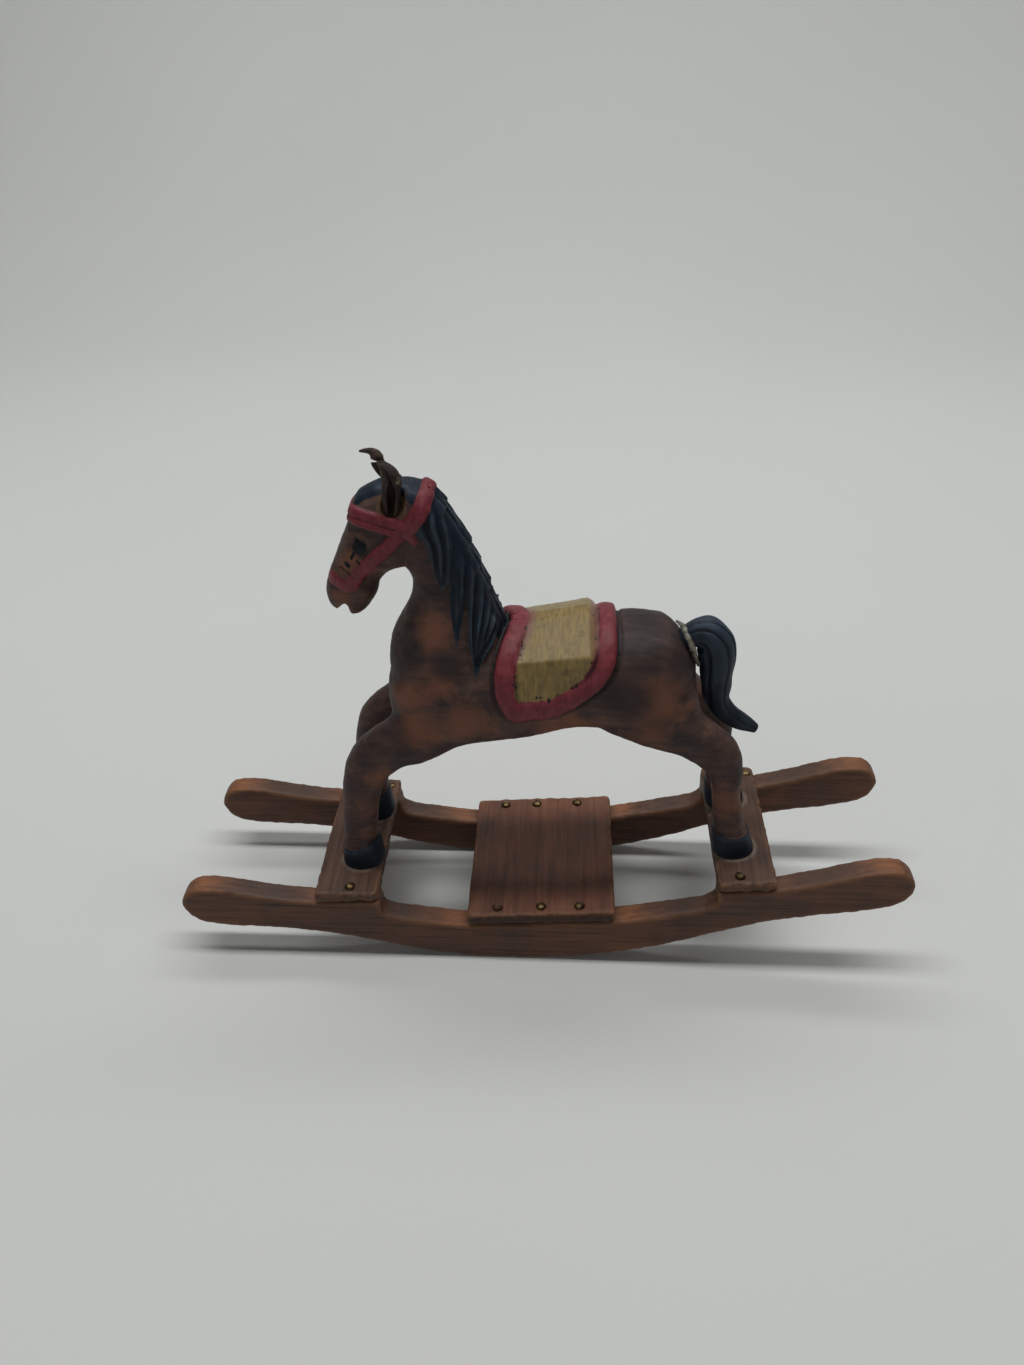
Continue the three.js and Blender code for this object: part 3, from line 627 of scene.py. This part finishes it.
painted("mane", np.where(on_neck > 0.3, mane_depth, -2))

# The bridle's straps stand proud of the skin, rounded across. The brow has two side by side.
def strap(line, width, high):
    far, _ = to_line(P, curve(line, 30))
    half = width / 2
    painted("crimson", half - far + 0.1)
    return high * step(far, half + 0.2, half - 0.3) * np.sqrt(np.clip(1.25 - (far / half) ** 2, 0.3, 1))


def on_limb(name, pairs, side):
    """Points on a limb's skin, each at a station number and so many degrees round."""
    rows = stations[name]
    turned = [(t / (len(rows) - 1), np.array([side * math.radians(a)])) for t, a in pairs]
    return [tuple(skin(rows, way, turn)[0]) for way, turn in turned]


def straps_over_mane():
    strap_part = paint["crimson"]
    paint["mane"] = np.where(strap_part > 0.5, np.minimum(paint["mane"], 1 - strap_part), paint["mane"])


nose = [(4.5, -88), (4.5, -55), (4.6, -25), (4.65, 0), (4.6, 25), (4.5, 55), (4.5, 88)]
high = strap(on_limb("head", nose, 1), 3.4, 0.55)
brow = [(0.85, 112), (0.96, 85), (1.1, 60), (1.32, 30), (1.5, 0)]
for side in (-1, 1):
    upper = on_limb("head", [(t - 0.13, a) for t, a in brow], side)
    lower = on_limb("head", [(t + 0.2, a) for t, a in brow], side)
    cheek = on_limb("head", [(0.75, 112), (1.6, 102), (2.7, 95), (4.3, 90)], side)
    crown = [(-26.5, 8.3 * side, 110.0), (-22.5, 7.6 * side, 114.4), (-20.2, 5.0 * side, 118.2)]
    crown += [(-19.6, 0, 119.8)]
    stub = [(-26.5, 8.4 * side, 109.5), (-24.8, 8.6 * side, 107.8)]
    for line, width, thick in (
        (upper, 2.7, 0.9), (lower, 2.0, 0.7), (cheek, 3.9, 0.75), (crown, 4.4, 0.85), (stub, 3.2, 0.7)
    ):
        high = np.maximum(high, strap(line, width, thick))
high *= 1 - 0.5 * (P[:, 0] < -33) * step(np.abs(P[:, 1]), 4.5, 1.0)
carve(high)
straps_over_mane()

# Eyes in shallow carved sockets, with small knife nicks below them that are painted dark. The long
# thin nick is carved too, and its dark paint is painted shade above the noseband's top edge.
for side in (-1, 1):
    eye = np.array([-39.2, side * 7.4, 106.1])
    near = np.linalg.norm(P - eye, axis=1) + 0.9 * noises(P, 1.6, 9)
    lid = 0.15 * np.exp(-((near - 3.7) / 0.8) ** 2)
    carve(-0.4 * step(near, 3.8, 1.8) + 0.6 * step(near, 2.2, 1.3) + lid)
    painted("dark", 2.15 - near, 0.8)
    # The last nick, long and thin, lies above the noseband: its dark paint is painted shade.
    nicks = [
        ([(-40.9, 104.2), (-41.7, 102.9)], 0.5), ([(-43.4, 101.2), (-42.9, 100.6)], 0.75),
        ([(-40.2, 102.4), (-39.8, 101.6)], 0.5), ([(-45.6, 99.8), (-43.7, 98.6), (-41.4, 96.9)], 0.28),
    ]
    for line, width in nicks:
        far, _ = to_line(P[:, [0, 2]], line)
        far = np.where(P[:, 1] * side > 2.0, far, 9.0)
        carve(-0.3 * step(far, width, 0.1))
        painted("dark", width * 0.8 - far, 0.5)

# Forelock, painted on the crown round the ears.
crown_spots = [(-37.3, 119.4, 3.8), (-34, 121.0, 4.8), (-25.0, 121.5, 4.0)]
crown_depth = np.max([r - np.hypot(P[:, 0] - a, P[:, 2] - b) for a, b, r in crown_spots], axis=0)
crown_depth = np.minimum(crown_depth, 4.2 - np.abs(P[:, 1]))
painted("mane", np.where(P[:, 2] > 110, crown_depth, -2), 1.8)
carve(0.7 * step(crown_depth, -0.5, 2.0) * (P[:, 2] > 112) * (P[:, 0] < -31))
straps_over_mane()

# Saddle: a raised seat with a crease on each side, inside a rolled rim that ends in a rear roll.
torso = np.array(stations["torso"])
centre_up = np.interp(P[:, 0], torso[:, 0], torso[:, 1])
half_up = np.interp(P[:, 0], torso[:, 0], torso[:, 3])
half_wide = np.interp(P[:, 0], torso[:, 0], torso[:, 4])
rise_up = (P[:, 2] - centre_up) / half_up
power = roundness / 2
down = np.degrees(
    np.arctan2((np.abs(P[:, 1]) / half_wide) ** power, np.sign(rise_up) * np.abs(rise_up) ** power)
)
body_radius = 17.3
arc = body_radius * np.radians(down)
edge_arc = body_radius * math.radians(99)
flap = []
for share in np.linspace(0, 1, 40):
    front = -2.5 - 4.8 * math.sin(math.pi / 2 * min(1, share / 0.75)) + 4.6 * share ** 10
    flap.append((front, edge_arc * share))
for share in np.linspace(1, 0, 40):
    flap.append((26.6 - 17 * share ** 4.4, edge_arc * share))
flap = [(flap[0][0], -20)] + flap + [(flap[-1][0], -20)]
saddle_place = np.stack([P[:, 0], arc], 1)
saddle_depth = within(saddle_place, flap)
saddle_depth = np.where((P[:, 2] > 48) & (np.abs(P[:, 0] - 10) < 24), saddle_depth, -9)
rim = np.interp(arc / edge_arc, [0.6, 0.92], [5.9, 4.7])
roll = np.sqrt(np.clip(1 - ((saddle_depth - rim / 2) / (rim / 2)) ** 2, 0, 1))
seat = step(saddle_depth, rim - 0.7, rim + 0.2)
corners = (-5, 5, 48, 94)
facet = np.zeros(len(P))
for low, high in zip(corners[:-1], corners[1:]):
    flat = math.cos(math.radians((high - low) / 2)) / np.cos(np.radians(down - (high + low) / 2)) - 1
    facet = np.where((down >= low) & (down < high), body_radius * flat, facet)
ramp_up = np.interp(P[:, 0], [1, 12, 18.6, 21.4, 23], [-0.2, 1.3, 2.5, 0.9, 0.9]) * step(down, 100, 40)
swell = seat * (1.0 + facet + ramp_up)
rear_roll = 0.5 * step(down, 50, 20) * step(P[:, 0], 18, 22) * roll
edge_step = 1.0 * step(saddle_depth, -0.15, 0.35)
carve(np.where(saddle_depth > -1, edge_step + 1.0 * roll * (1 - seat) + swell + rear_roll, 0))
painted("crimson", saddle_depth)
gold_depth = saddle_depth - rim
painted("gold", gold_depth)
smudge = np.exp(-((gold_depth - 0.3) / 1.3) ** 2) * np.clip(1.25 - down / 60, 0, 1)
paint["border"] = smudge * (P[:, 2] > 55)
rng = np.random.default_rng(8)
chip_places = P[(np.abs(gold_depth) < 0.7) & (saddle_depth > 0)]
for spot in chip_places[rng.choice(len(chip_places), 34)]:
    near = np.linalg.norm(P - spot, axis=1)
    carve(-0.2 * step(near, 0.7, 0.2))
    painted("dark", 0.35 - near, 0.4)
carve(-0.5 * np.exp(-((saddle_depth + 0.7) / 0.55) ** 2))

# Hooves: a knife cut above each, painted below it.
hoof = np.full(len(P), -9.0)
wobble = 0.7 * noises(P, 3.0, 12)
for leg, slope in (("foreleg", 0.3), ("hindleg", -0.12)):
    along = stations[leg][-1][0]
    near = np.abs(P[:, 0] - along) < 12
    line = 7.9 + (P[:, 0] - along) * slope + wobble
    hoof = np.maximum(hoof, np.where(near, line - P[:, 2], -9.0))
carve(0.35 * step(hoof, -0.3, 0.4) - 0.3 * np.exp(-((hoof + 0.6) / 0.5) ** 2))
painted("mane", hoof)

# Knife work over the whole skin: broad shallow planes, and the creases where the legs meet the body.
bare = 1 - np.maximum.reduce([paint["mane"], paint["crimson"], paint["gold"]])
carve(0.35 * noises(P, 9.0, 3) * bare + 0.16 * noises(P, 3.2, 4) + 0.06 * noises(P, 1.3, 5))
folds = [
    ([(-30, 13, 40), (-34, 12.5, 48), (-33, 12, 56)], 0.5),
    ([(29, 13, 45), (33, 15, 52), (32, 15.5, 60)], 0.4),
    ([(-26, 13, 70), (-31, 11.5, 78)], 0.3),
]
for line, deep in folds:
    for side in (-1, 1):
        far, way = to_line(P, curve([(a, side * b, c) for a, b, c in line], 12))
        carve(-deep * step(far, 2.2, 0.2) * np.sin(math.pi * np.clip(way, 0.05, 0.95)) * bare)

# Stain and wear, as soft patches: rubbed orange wood, smoky stain and pale wood round the ears.
def patches(spots):
    """Soft patches on both sides of the horse: each has a place and a reach."""
    value = np.zeros(len(P))
    for along, across, up, reach in spots:
        for side in (1, -1):
            near = np.linalg.norm(P - (along, side * across, up), axis=1)
            value = np.maximum(value, np.clip(1 - near / reach, 0, 1))
    return value


for side in (-1, 1):
    painted("pale", 4.1 - np.linalg.norm(P - (-29.2, side * 5.8, 115.6), axis=1), 1.6)
paint["smoke"] = patches([
    (-37, 8, 70, 13), (-30, 12, 76, 10), (-47, 12, 42, 9), (-36, 12, 50, 10), (33, 12, 74, 16),
    (25, 16, 62, 9), (42, 8, 66, 13), (-20, 13, 72, 9), (30, 16, 60, 12), (34, 3, 76, 16),
    (-42, 12, 46, 9), (44, 3, 72, 10),
])
paint["rubbed"] = patches([
    (-32, 13, 62, 11), (-24, 14, 66, 12), (-22, 12, 82, 11), (38, 14, 58, 15), (35, 16, 48, 14),
    (10, 16, 50, 16), (-45, 14, 36, 8), (-40, 7, 100, 9), (-30, 14, 52, 13), (-15, 15, 56, 14),
    (-51, 12, 25, 12), (57, 12, 24, 13), (-47, 4, 90, 7), (-53, 12, 14, 8),
])
for name, value in paint.items():
    keep_value(carving, name, value)
keep_edges(carving, reach=0.3)
set_points(carving, leaned(P, lift=sole))


def brushed_patch(tree, name, wander, ragged, low=0.46, high=0.54):
    """A painted patch whose edge wanders with a cloudy pattern, as a brush leaves it."""
    value = add_node(tree, "Attribute", "Fac", attribute_name=name)
    drift = add_node(tree, "Math", operation="SUBTRACT", _0=wander, _1=0.5)
    moved = add_node(tree, "Math", operation="MULTIPLY_ADD", _0=drift, _1=ragged, _2=value)
    return add_node(tree, "ValToRGB", Fac=moved, stops=[(low, 0.0), (high, 1.0)])


# Carved lime wood under brown stain, oil paint and worn varnish: dull brown with rubbed edges, satin
# crimson in brush marks, streaky gold with the most shine, and blue-black paint with a painted grey
# highlight on its ridges. Every colour is painted darker in the carved hollows, as painted shade.
# The grain is 2 mm wide and the brush marks are 0.8 mm, drawn coarser than real to show.
def painted_lime():
    material, tree, place = new_finish("painted_lime_wood", ior=1.5, roughness=0.5, specular=0.27)
    lengthways = add_node(tree, "Mapping", Vector=place, Scale=[0.12, 1.0, 0.8])
    grain = add_node(tree, "TexNoise", Vector=lengthways, Scale=1 / (2 * MM), Detail=6.0, Roughness=0.65)
    cloud = add_node(
        tree, "TexNoise", Vector=place, Scale=1 / (15 * MM), Detail=8.0, Roughness=0.68, Distortion=0.6
    )
    fine = add_node(tree, "TexNoise", Vector=place, Scale=1 / (3 * MM), Detail=5.0, Roughness=0.65)
    downwards = add_node(tree, "Mapping", Vector=place, Scale=[1.0, 0.2, 0.15])
    brush = add_node(tree, "TexNoise", Vector=downwards, Scale=1 / (0.8 * MM), Detail=4.0, Roughness=0.6)
    edge = add_node(tree, "Attribute", "Fac", attribute_name="edge")
    # Raised carving: rubbed paler wood, and painted highlight on the blue black. Hollows: painted shade.
    raised = add_node(tree, "ValToRGB", Fac=edge, stops=[(0.55, 0.0), (0.85, 1.0)])
    hollow_shade = add_node(tree, "ValToRGB", Fac=edge, stops=[(0.2, 1.0), (0.46, 0.0)])
    streak = add_node(tree, "ValToRGB", Fac=brush, stops=[(0.4, 0.0), (0.75, 1.0)])

    tone = add_node(tree, "Math", operation="MULTIPLY", _0=cloud, _1=0.6)
    tone = add_node(tree, "Math", operation="MULTIPLY_ADD", _0=grain, _1=0.45, _2=tone)
    stains = [(0.4, "#2c2121"), (0.52, "#45332f"), (0.62, "#5c4339"), (0.74, "#755342")]
    # Stained wood with rubbed, smoky and pale patches, paler on raised carving, painted shade in hollows.
    wood = coats(tree, add_node(tree, "ValToRGB", Fac=tone, stops=stains), [
        (brushed_patch(tree, "rubbed", cloud, 1.5, 0.36, 0.8), 0.7, "#80503a"),
        (brushed_patch(tree, "smoke", cloud, 1.5, 0.36, 0.8), 0.68, "#201d1f"),
        (raised, 0.45, "#7d5a40"),
        (hollow_shade, 0.7, "#1c1414"),
        (brushed_patch(tree, "pale", fine, 0.8), 0.5, "#7d6248"),
    ])
    # Each paint gets painted shade in its hollows; the blue black also a painted highlight on its ridges.
    ink = [(streak, 0.35, "#1b2c3b"), (raised, 0.55, "#414d58"), (hollow_shade, 1.0, "#05090e")]
    ink = coats(tree, "#0b1725", ink)
    dabs = add_node(tree, "ValToRGB", Fac=fine, stops=[(0.5, 0.0), (0.72, 0.8)])
    red = [(streak, 1.0, "#7b363d"), (dabs, 1.0, "#8c3c44"), (hollow_shade, 0.8, "#3a171b")]
    red = coats(tree, "#69272f", red)
    dirt = add_node(tree, "ValToRGB", Fac=fine, stops=[(0.3, 0.5), (0.45, 0.0)])
    gold = [(streak, 1.0, "#98804c"), (dirt, 1.0, "#463c24"), (hollow_shade, 1.0, "#3c331f")]
    gold = coats(tree, "#776540", gold)

    mane_part = brushed_patch(tree, "mane", fine, 0.35)
    red_part = brushed_patch(tree, "crimson", fine, 0.3)
    gold_part = brushed_patch(tree, "gold", fine, 0.6)
    colour = coats(tree, wood, [
        (mane_part, 1.0, ink),
        (red_part, 1.0, red),
        (gold_part, 1.0, gold),
        (brushed_patch(tree, "border", fine, 0.9, 0.3, 0.8), 0.75, "#7a5649"),
        (brushed_patch(tree, "dark", fine, 0.4), 1.0, "#060b13"),
    ])
    shine = add_node(tree, "ValToRGB", Fac=cloud, stops=[(0.35, 0.5), (0.65, 0.68)])
    for where, roughness in ((red_part, 0.503), (mane_part, 0.552), (gold_part, 0.413)):
        shine = add_node(tree, "Mix", Factor=where, _2=shine, _3=roughness)
    height = 0.0
    for pattern, share in ((grain, 0.5), (fine, 0.6), (brush, 0.5)):
        height = add_node(tree, "Math", operation="MULTIPLY_ADD", _0=pattern, _1=share, _2=height)
    relief = add_node(tree, "Bump", Strength=0.45, Distance=0.3 * MM, Height=height)
    return finished(material, Base_Color=colour, Roughness=shine, Normal=relief)


horse = shown_mesh("horse_carving", carving, painted_lime())
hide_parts("horse")
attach(horse, "root")


# Tail
# A separate carved piece, glued into the rump: it rises, falls in long flat-sided ridges and kicks
# out to a tip that is cut off square. It is painted the same blue black as the mane, and a bead of
# dried glue lies round its root.

tail_rows = [
    (44.4, 68.4, 0, 2.4, 2.6, 115), (46.6, 70.1, 0, 3.2, 3.3, 105), (48.8, 71.1, 0, 3.9, 4, 90),
    (51.4, 70.3, 0, 4.6, 4.6, 62), (53.6, 66.6, 0, 5.3, 4.9, 22), (54.2, 60.3, 0, 4.9, 4.7, 4),
    (54.1, 53.3, 0, 4, 3.9, 0), (54.8, 47.4, 0, 3.5, 3.2, 22), (57.9, 42.6, 0, 3, 2.8, 44),
    (62.2, 39.2, 0, 2.4, 2.4, 54), (66, 36.8, 0, 1.3, 1.5, 58),
]


def carved_tail():
    sides, steps = 64, 10
    turns = np.linspace(0, 2 * math.pi, sides, endpoint=False)
    count = (len(tail_rows) - 1) * steps
    rings = []
    for i in range(count + 1):
        ring = skin(tail_rows, i / count, turns)
        middle = ring.mean(0)
        groove = np.abs(np.sin(turns * 3.5 + 0.5 * np.sin(turns * 2 + 1) + 0.4 + i * 0.012))
        ridge = 1.03 - 0.13 * np.clip(1 - groove * 2.2, 0, 1) * min(1, i / 20) * min(1, (count - i) / 12)
        rings.append(middle + (ring - middle) * ridge[:, None])
    points, faces = [], []
    add_rings(points, faces, rings)
    mesh = built("tail_carving", points, faces)
    places = mesh_points(mesh)
    set_points(mesh, places + mesh_normals(mesh) * (0.5 * noises(places, 6.0, 41))[:, None])
    keep_edges(mesh, reach=0.12)
    set_points(mesh, leaned(mesh_points(mesh), lift=sole))
    return mesh


# Lime wood in blue-black oil paint, brushed lengthways: satin and nearly black, with a painted grey
# highlight on its ridges. The brush marks are drawn 1.2 mm wide, coarser than the real ones, so that
# they show.
def painted_tail():
    material, tree, place = new_finish("painted_lime_wood_blue_black", ior=1.5, roughness=0.6, specular=0.35)
    downwards = add_node(tree, "Mapping", Vector=place, Scale=[1.0, 1.0, 0.12])
    brush = add_node(tree, "TexNoise", Vector=downwards, Scale=1 / (1.2 * MM), Detail=4.0, Roughness=0.6)
    edge = add_node(tree, "Attribute", "Fac", attribute_name="edge")
    # The raised ridges are painted lighter grey, as painted highlight.
    raised = add_node(tree, "ValToRGB", Fac=edge, stops=[(0.52, 0.0), (0.8, 1.0)])
    streak = add_node(tree, "ValToRGB", Fac=brush, stops=[(0.42, 0.0), (0.75, 0.6)])
    colour = coats(tree, "#0a1320", [(streak, 1.0, "#1a2a3b"), (raised, 0.4, "#3a4a59")])
    relief = add_node(tree, "Bump", Strength=0.5, Distance=0.3 * MM, Height=brush)
    return finished(material, Base_Color=colour, Normal=relief)


tail = shown_mesh("tail_carving", carved_tail(), painted_tail())
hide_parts("tail")
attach(tail, "root")


def carried(path, way):
    """A place on a path, and the turn that points a ring along the path there."""
    ahead = Vector(eased(path, min(1, way + 0.02)) - eased(path, max(0, way - 0.02))).normalized()
    return Vector(eased(path, way)), ahead.to_track_quat("Z", "Y").to_matrix()


def glue_bead():
    path = [(43.4, 5.2, 71.6), (44.2, 2.8, 72.2), (44.9, 0, 72.6), (45.7, -2.9, 71.4), (46.8, -4.3, 69.0)]
    path += [(47.6, -4.2, 65.8), (48.6, -3.0, 62.6), (48.9, -1.4, 60.8)]
    rings, sides, count = [], 14, 60
    for i in range(count + 1):
        way = i / count
        middle, turned = carried(path, way)
        size = 0.95 * math.sin(math.pi * min(max(way, 0.06), 0.94)) ** 0.5
        size *= 1.05 + 0.16 * math.sin(i * 0.7) * math.sin(i * 0.37)
        around = [2 * math.pi * k / sides for k in range(sides)]
        ring = [Vector((size * math.cos(t), size * 0.8 * math.sin(t), 0)) for t in around]
        rings.append([middle + turned @ p for p in ring])
    points, faces = [], []
    add_rings(points, faces, rings)
    mesh = built("tail_glue", points, faces)
    set_points(mesh, leaned(mesh_points(mesh), lift=sole))
    return mesh


# Wood glue, dried: a hard, slightly cloudy grey-yellow resin with dust in it, in clouds of 1.6 mm.
def dried_glue():
    material, tree, place = new_finish("glue_dried_clouded", ior=1.5, roughness=0.45)
    cloud = add_node(tree, "TexNoise", Vector=place, Scale=1 / (1.6 * MM), Detail=4.0, Roughness=0.6)
    tones = [(0.35, "#3c382f"), (0.5, "#68655a"), (0.7, "#8c8978")]
    colour = add_node(tree, "ValToRGB", Fac=cloud, stops=tones)
    relief = add_node(tree, "Bump", Strength=0.5, Distance=0.3 * MM, Height=cloud)
    return finished(material, Base_Color=colour, Normal=relief)


bead = shown_mesh("tail_glue_bead", glue_bead(), dried_glue())
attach(bead, "root")


# Ears
# Two scraps of thin dark leather, rolled to a tube and glued upright in drilled holes. The left
# one is open near its foot and hooded at its tip, and the right one is a twist that curls forward.

def band(rings):
    """A skin over rings of points that go round the leather's outside and back along its inside."""
    points, faces, loop = [], [], len(rings[0])
    add_rings(points, faces, rings)
    del faces[-2:]
    for base in (0, len(points) - loop):
        for i in range(loop // 2 - 1):
            faces.append((base + i, base + i + 1, base + loop - 2 - i, base + loop - 1 - i))
    return built("ear", points, faces)


def leaf_ring(radius, thick, opening, open_to, squash=1.0):
    ring, arcs = [], 26
    for depth in (0.0, thick):
        for i in range(arcs + 1):
            way = i / arcs if depth == 0 else 1 - i / arcs
            turn = open_to + opening / 2 + way * (2 * math.pi - opening)
            reach = radius - depth
            ring.append((reach * math.cos(turn), reach * math.sin(turn) * squash, 0.0))
    return np.array(ring)


def hooded_ear():
    levels = [0, 0.2, 0.42, 0.55, 0.65, 0.75, 0.85, 0.93, 1]
    sizes = [0.9, 0.95, 1, 1.02, 1.04, 1.0, 0.86, 0.66, 0.35]
    bends = [0, 0, 0, 0, 0.1, 0.4, 1.0, 1.8, 2.9]
    gaps = [40, 60, 78, 55, 22, 10, 8, 8, 8]
    rings = []
    for level in np.linspace(0, 1, 34):
        size, bend = np.interp(level, levels, sizes), np.interp(level, levels, bends)
        ring = leaf_ring(2.4 * size, 0.7, math.radians(np.interp(level, levels, gaps)), math.radians(-84))
        ring *= (1 + 0.04 * np.sin(np.arange(len(ring)) * 0.5 + level * 9))[:, None]
        ring += (-0.45 - bend, 0.25 * math.sin(level * 5), level * 15.7 - 2.0 - 0.35 * bend * (level > 0.8))
        rings.append([tuple(ear_pose(-1) @ Vector(p)) for p in ring])
    return band(rings)


def twisted_ear():
    path = [tuple(ear_pose(1) @ Vector((0, 0, up))) for up in (-2.2, 0.8)]
    path += [(-30.3, 6.4, 118.9), (-32.5, 6.7, 121.2), (-33.7, 6.5, 123.4), (-33.7, 6.2, 125.2)]
    path += [(-35.1, 6.0, 126.6), (-37.8, 6.0, 126.7)]
    rings, count = [], 44
    for i in range(count + 1):
        way = i / count
        middle, turned = carried(path, way)
        turned = turned @ Matrix.Rotation(1.1 + 3.2 * way, 3, "Z")
        size = np.interp(way, [0, 0.25, 0.45, 0.62, 0.74, 0.86, 1], [2.3, 2.2, 2.0, 1.95, 1.75, 0.95, 0.28])
        opening = math.radians(np.interp(way, [0, 0.2, 0.45, 1], [80, 90, 115, 160]))
        squash = np.interp(way, [0.15, 0.5], [1.0, 0.88])
        ring = leaf_ring(size, min(0.6, size * 0.5), opening, 0.0, squash)
        rings.append([middle + turned @ Vector(p) for p in ring])
    return band(rings)


def leaf_mesh(mesh):
    """The leather in its place, with two pale worn flecks noted."""
    points = mesh_points(mesh)
    flecks = [(-30.6, -9.2, 126.6), (-25.6, -8.6, 124.0)]
    near = np.min([np.linalg.norm(points - spot, axis=1) for spot in flecks], axis=0)
    keep_value(mesh, "fleck", np.clip(1.5 - near / 0.8, 0, 1))
    set_points(mesh, leaned(points, lift=sole))
    return mesh


# Vegetable-tanned leather gone dark and dry: matt brown-black and mottled, with two pale worn flecks.
# The pores are drawn 1 mm wide, coarser than real ones, so that they show.
def old_leather():
    material, tree, place = new_finish("leather_dark_dry", ior=1.45, roughness=0.7, specular=0.4)
    pores = add_node(tree, "TexNoise", Vector=place, Scale=1 / MM, Detail=6.0, Roughness=0.65)
    broad = add_node(tree, "TexNoise", Vector=place, Scale=1 / (5 * MM), Detail=3.0, Roughness=0.5)
    tone = add_node(tree, "Math", operation="MULTIPLY", _0=broad, _1=0.5)
    tone = add_node(tree, "Math", operation="MULTIPLY_ADD", _0=pores, _1=0.5, _2=tone)
    tones = [(0.36, "#1c1412"), (0.5, "#3a2a22"), (0.66, "#5a483b")]
    fleck = add_node(tree, "Attribute", "Fac", attribute_name="fleck")
    broken = add_node(tree, "ValToRGB", Fac=pores, stops=[(0.4, 0.2), (0.55, 1.0)])
    fleck = add_node(tree, "Math", operation="MULTIPLY", _0=fleck, _1=broken)
    colour = coats(tree, add_node(tree, "ValToRGB", Fac=tone, stops=tones), [(fleck, 1.0, "#a8987a")])
    relief = add_node(tree, "Bump", Strength=0.6, Distance=0.3 * MM, Height=pores)
    return finished(material, Base_Color=colour, Normal=relief)


leather = old_leather()
for node, mesh in (("ear_left", hooded_ear()), ("ear_right", twisted_ear())):
    ear = shown_mesh(node + "_leaf", leaf_mesh(mesh), leather)
    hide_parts(node)
    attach(ear, "root")


# Table, light and camera
# A plain pale sheet swept up behind. Two long soft tubes light it from above and a weak window from
# the front, and the camera looks down on the horse's left side.

def sweep():
    reach, back, bend, up = 7.0, 1.1, 0.5, 3.0
    profile = [(-reach, 0.0), (back - bend, 0.0)]
    for turn in np.linspace(0.05, math.pi / 2, 16):
        profile.append((back - bend + bend * math.sin(turn), bend - bend * math.cos(turn)))
    profile.append((back, up))
    points = [(x, y, z) for y, z in profile for x in (-reach, reach)]
    faces = [(2 * i, 2 * i + 1, 2 * i + 3, 2 * i + 2) for i in range(len(profile) - 1)]
    mesh = bpy.data.meshes.new("backdrop")
    mesh.from_pydata(points, [], faces)
    return mesh


# Matt paper, off-white, with only the faintest unevenness, in clouds of 400 mm.
def matt_paper():
    material, tree, place = new_finish("paper_matt_white", ior=1.45, roughness=0.85)
    cloud = add_node(tree, "TexNoise", Vector=place, Scale=1 / (400 * MM), Detail=2.0, Roughness=0.5)
    colour = add_node(tree, "ValToRGB", Fac=cloud, stops=[(0.3, "#cfd0ce"), (0.7, "#d3d4d2")])
    return finished(material, Base_Color=colour)


backdrop = shown_mesh("backdrop", sweep(), matt_paper())

world = bpy.data.worlds.new("soft_room")
bpy.context.scene.world = world
world.use_nodes = True
room = world.node_tree.nodes["Background"]
room.inputs["Color"].default_value = linear("#eef0f0")
room.inputs["Strength"].default_value = 0.065


def soft_light(name, place, target, size, watts):
    lamp = bpy.data.lights.new(name, "AREA")
    lamp.shape = "RECTANGLE"
    lamp.size, lamp.size_y = size
    lamp.energy = watts
    lamp.color = linear("#fdfefe")[:3]
    holder = bpy.data.objects.new(name, lamp)
    holder.location = place
    holder.rotation_mode = "QUATERNION"
    holder.rotation_quaternion = (Vector(target) - Vector(place)).to_track_quat("-Z", "Y")
    bpy.context.scene.collection.objects.link(holder)


tube = (1.6, 0.16)
soft_light("tube_middle", (0.03, 0.02, 1.3), (0.03, 0.02, 0.0), tube, 10.9)
soft_light("tube_rear", (0.03, 0.5, 1.05), (0.03, 0.4, 0.0), tube, 4.1)
soft_light("window_front", (-0.2, -1.1, 0.65), (0.0, 0.0, 0.06), (1.2, 0.7), 1.3)

# The camera was fitted to the photograph: its place in mm, its turns in degrees, and its lens.
camera_place = Vector((4.65, -241.3, 256.02)) * MM
pitch, yaw, roll = math.radians(35.01), math.radians(3.07), math.radians(-0.76)
focal_pixels, photo_height = 1025, 1365
level, above = Vector((-math.sin(yaw), math.cos(yaw), 0)), Vector((0, 0, 1))
right = Vector((math.cos(yaw), math.sin(yaw), 0))
look = level * math.cos(pitch) - above * math.sin(pitch)
up = level * math.sin(pitch) + above * math.cos(pitch)
turned_right = right * math.cos(roll) + up * math.sin(roll)
turned_up = up * math.cos(roll) - right * math.sin(roll)
camera_data = bpy.data.cameras.new("camera")
camera_data.sensor_width = 36.0
camera_data.lens = camera_data.sensor_width * focal_pixels / photo_height
camera_data.clip_start = 0.02
camera_data.clip_end = 20.0
camera = bpy.data.objects.new("camera", camera_data)
bpy.context.scene.collection.objects.link(camera)
axes = Matrix((turned_right, turned_up, -look)).transposed().to_4x4()
camera.matrix_world = Matrix.Translation(camera_place) @ axes
bpy.context.scene.camera = camera
bpy.context.scene.view_settings.view_transform = "Standard"
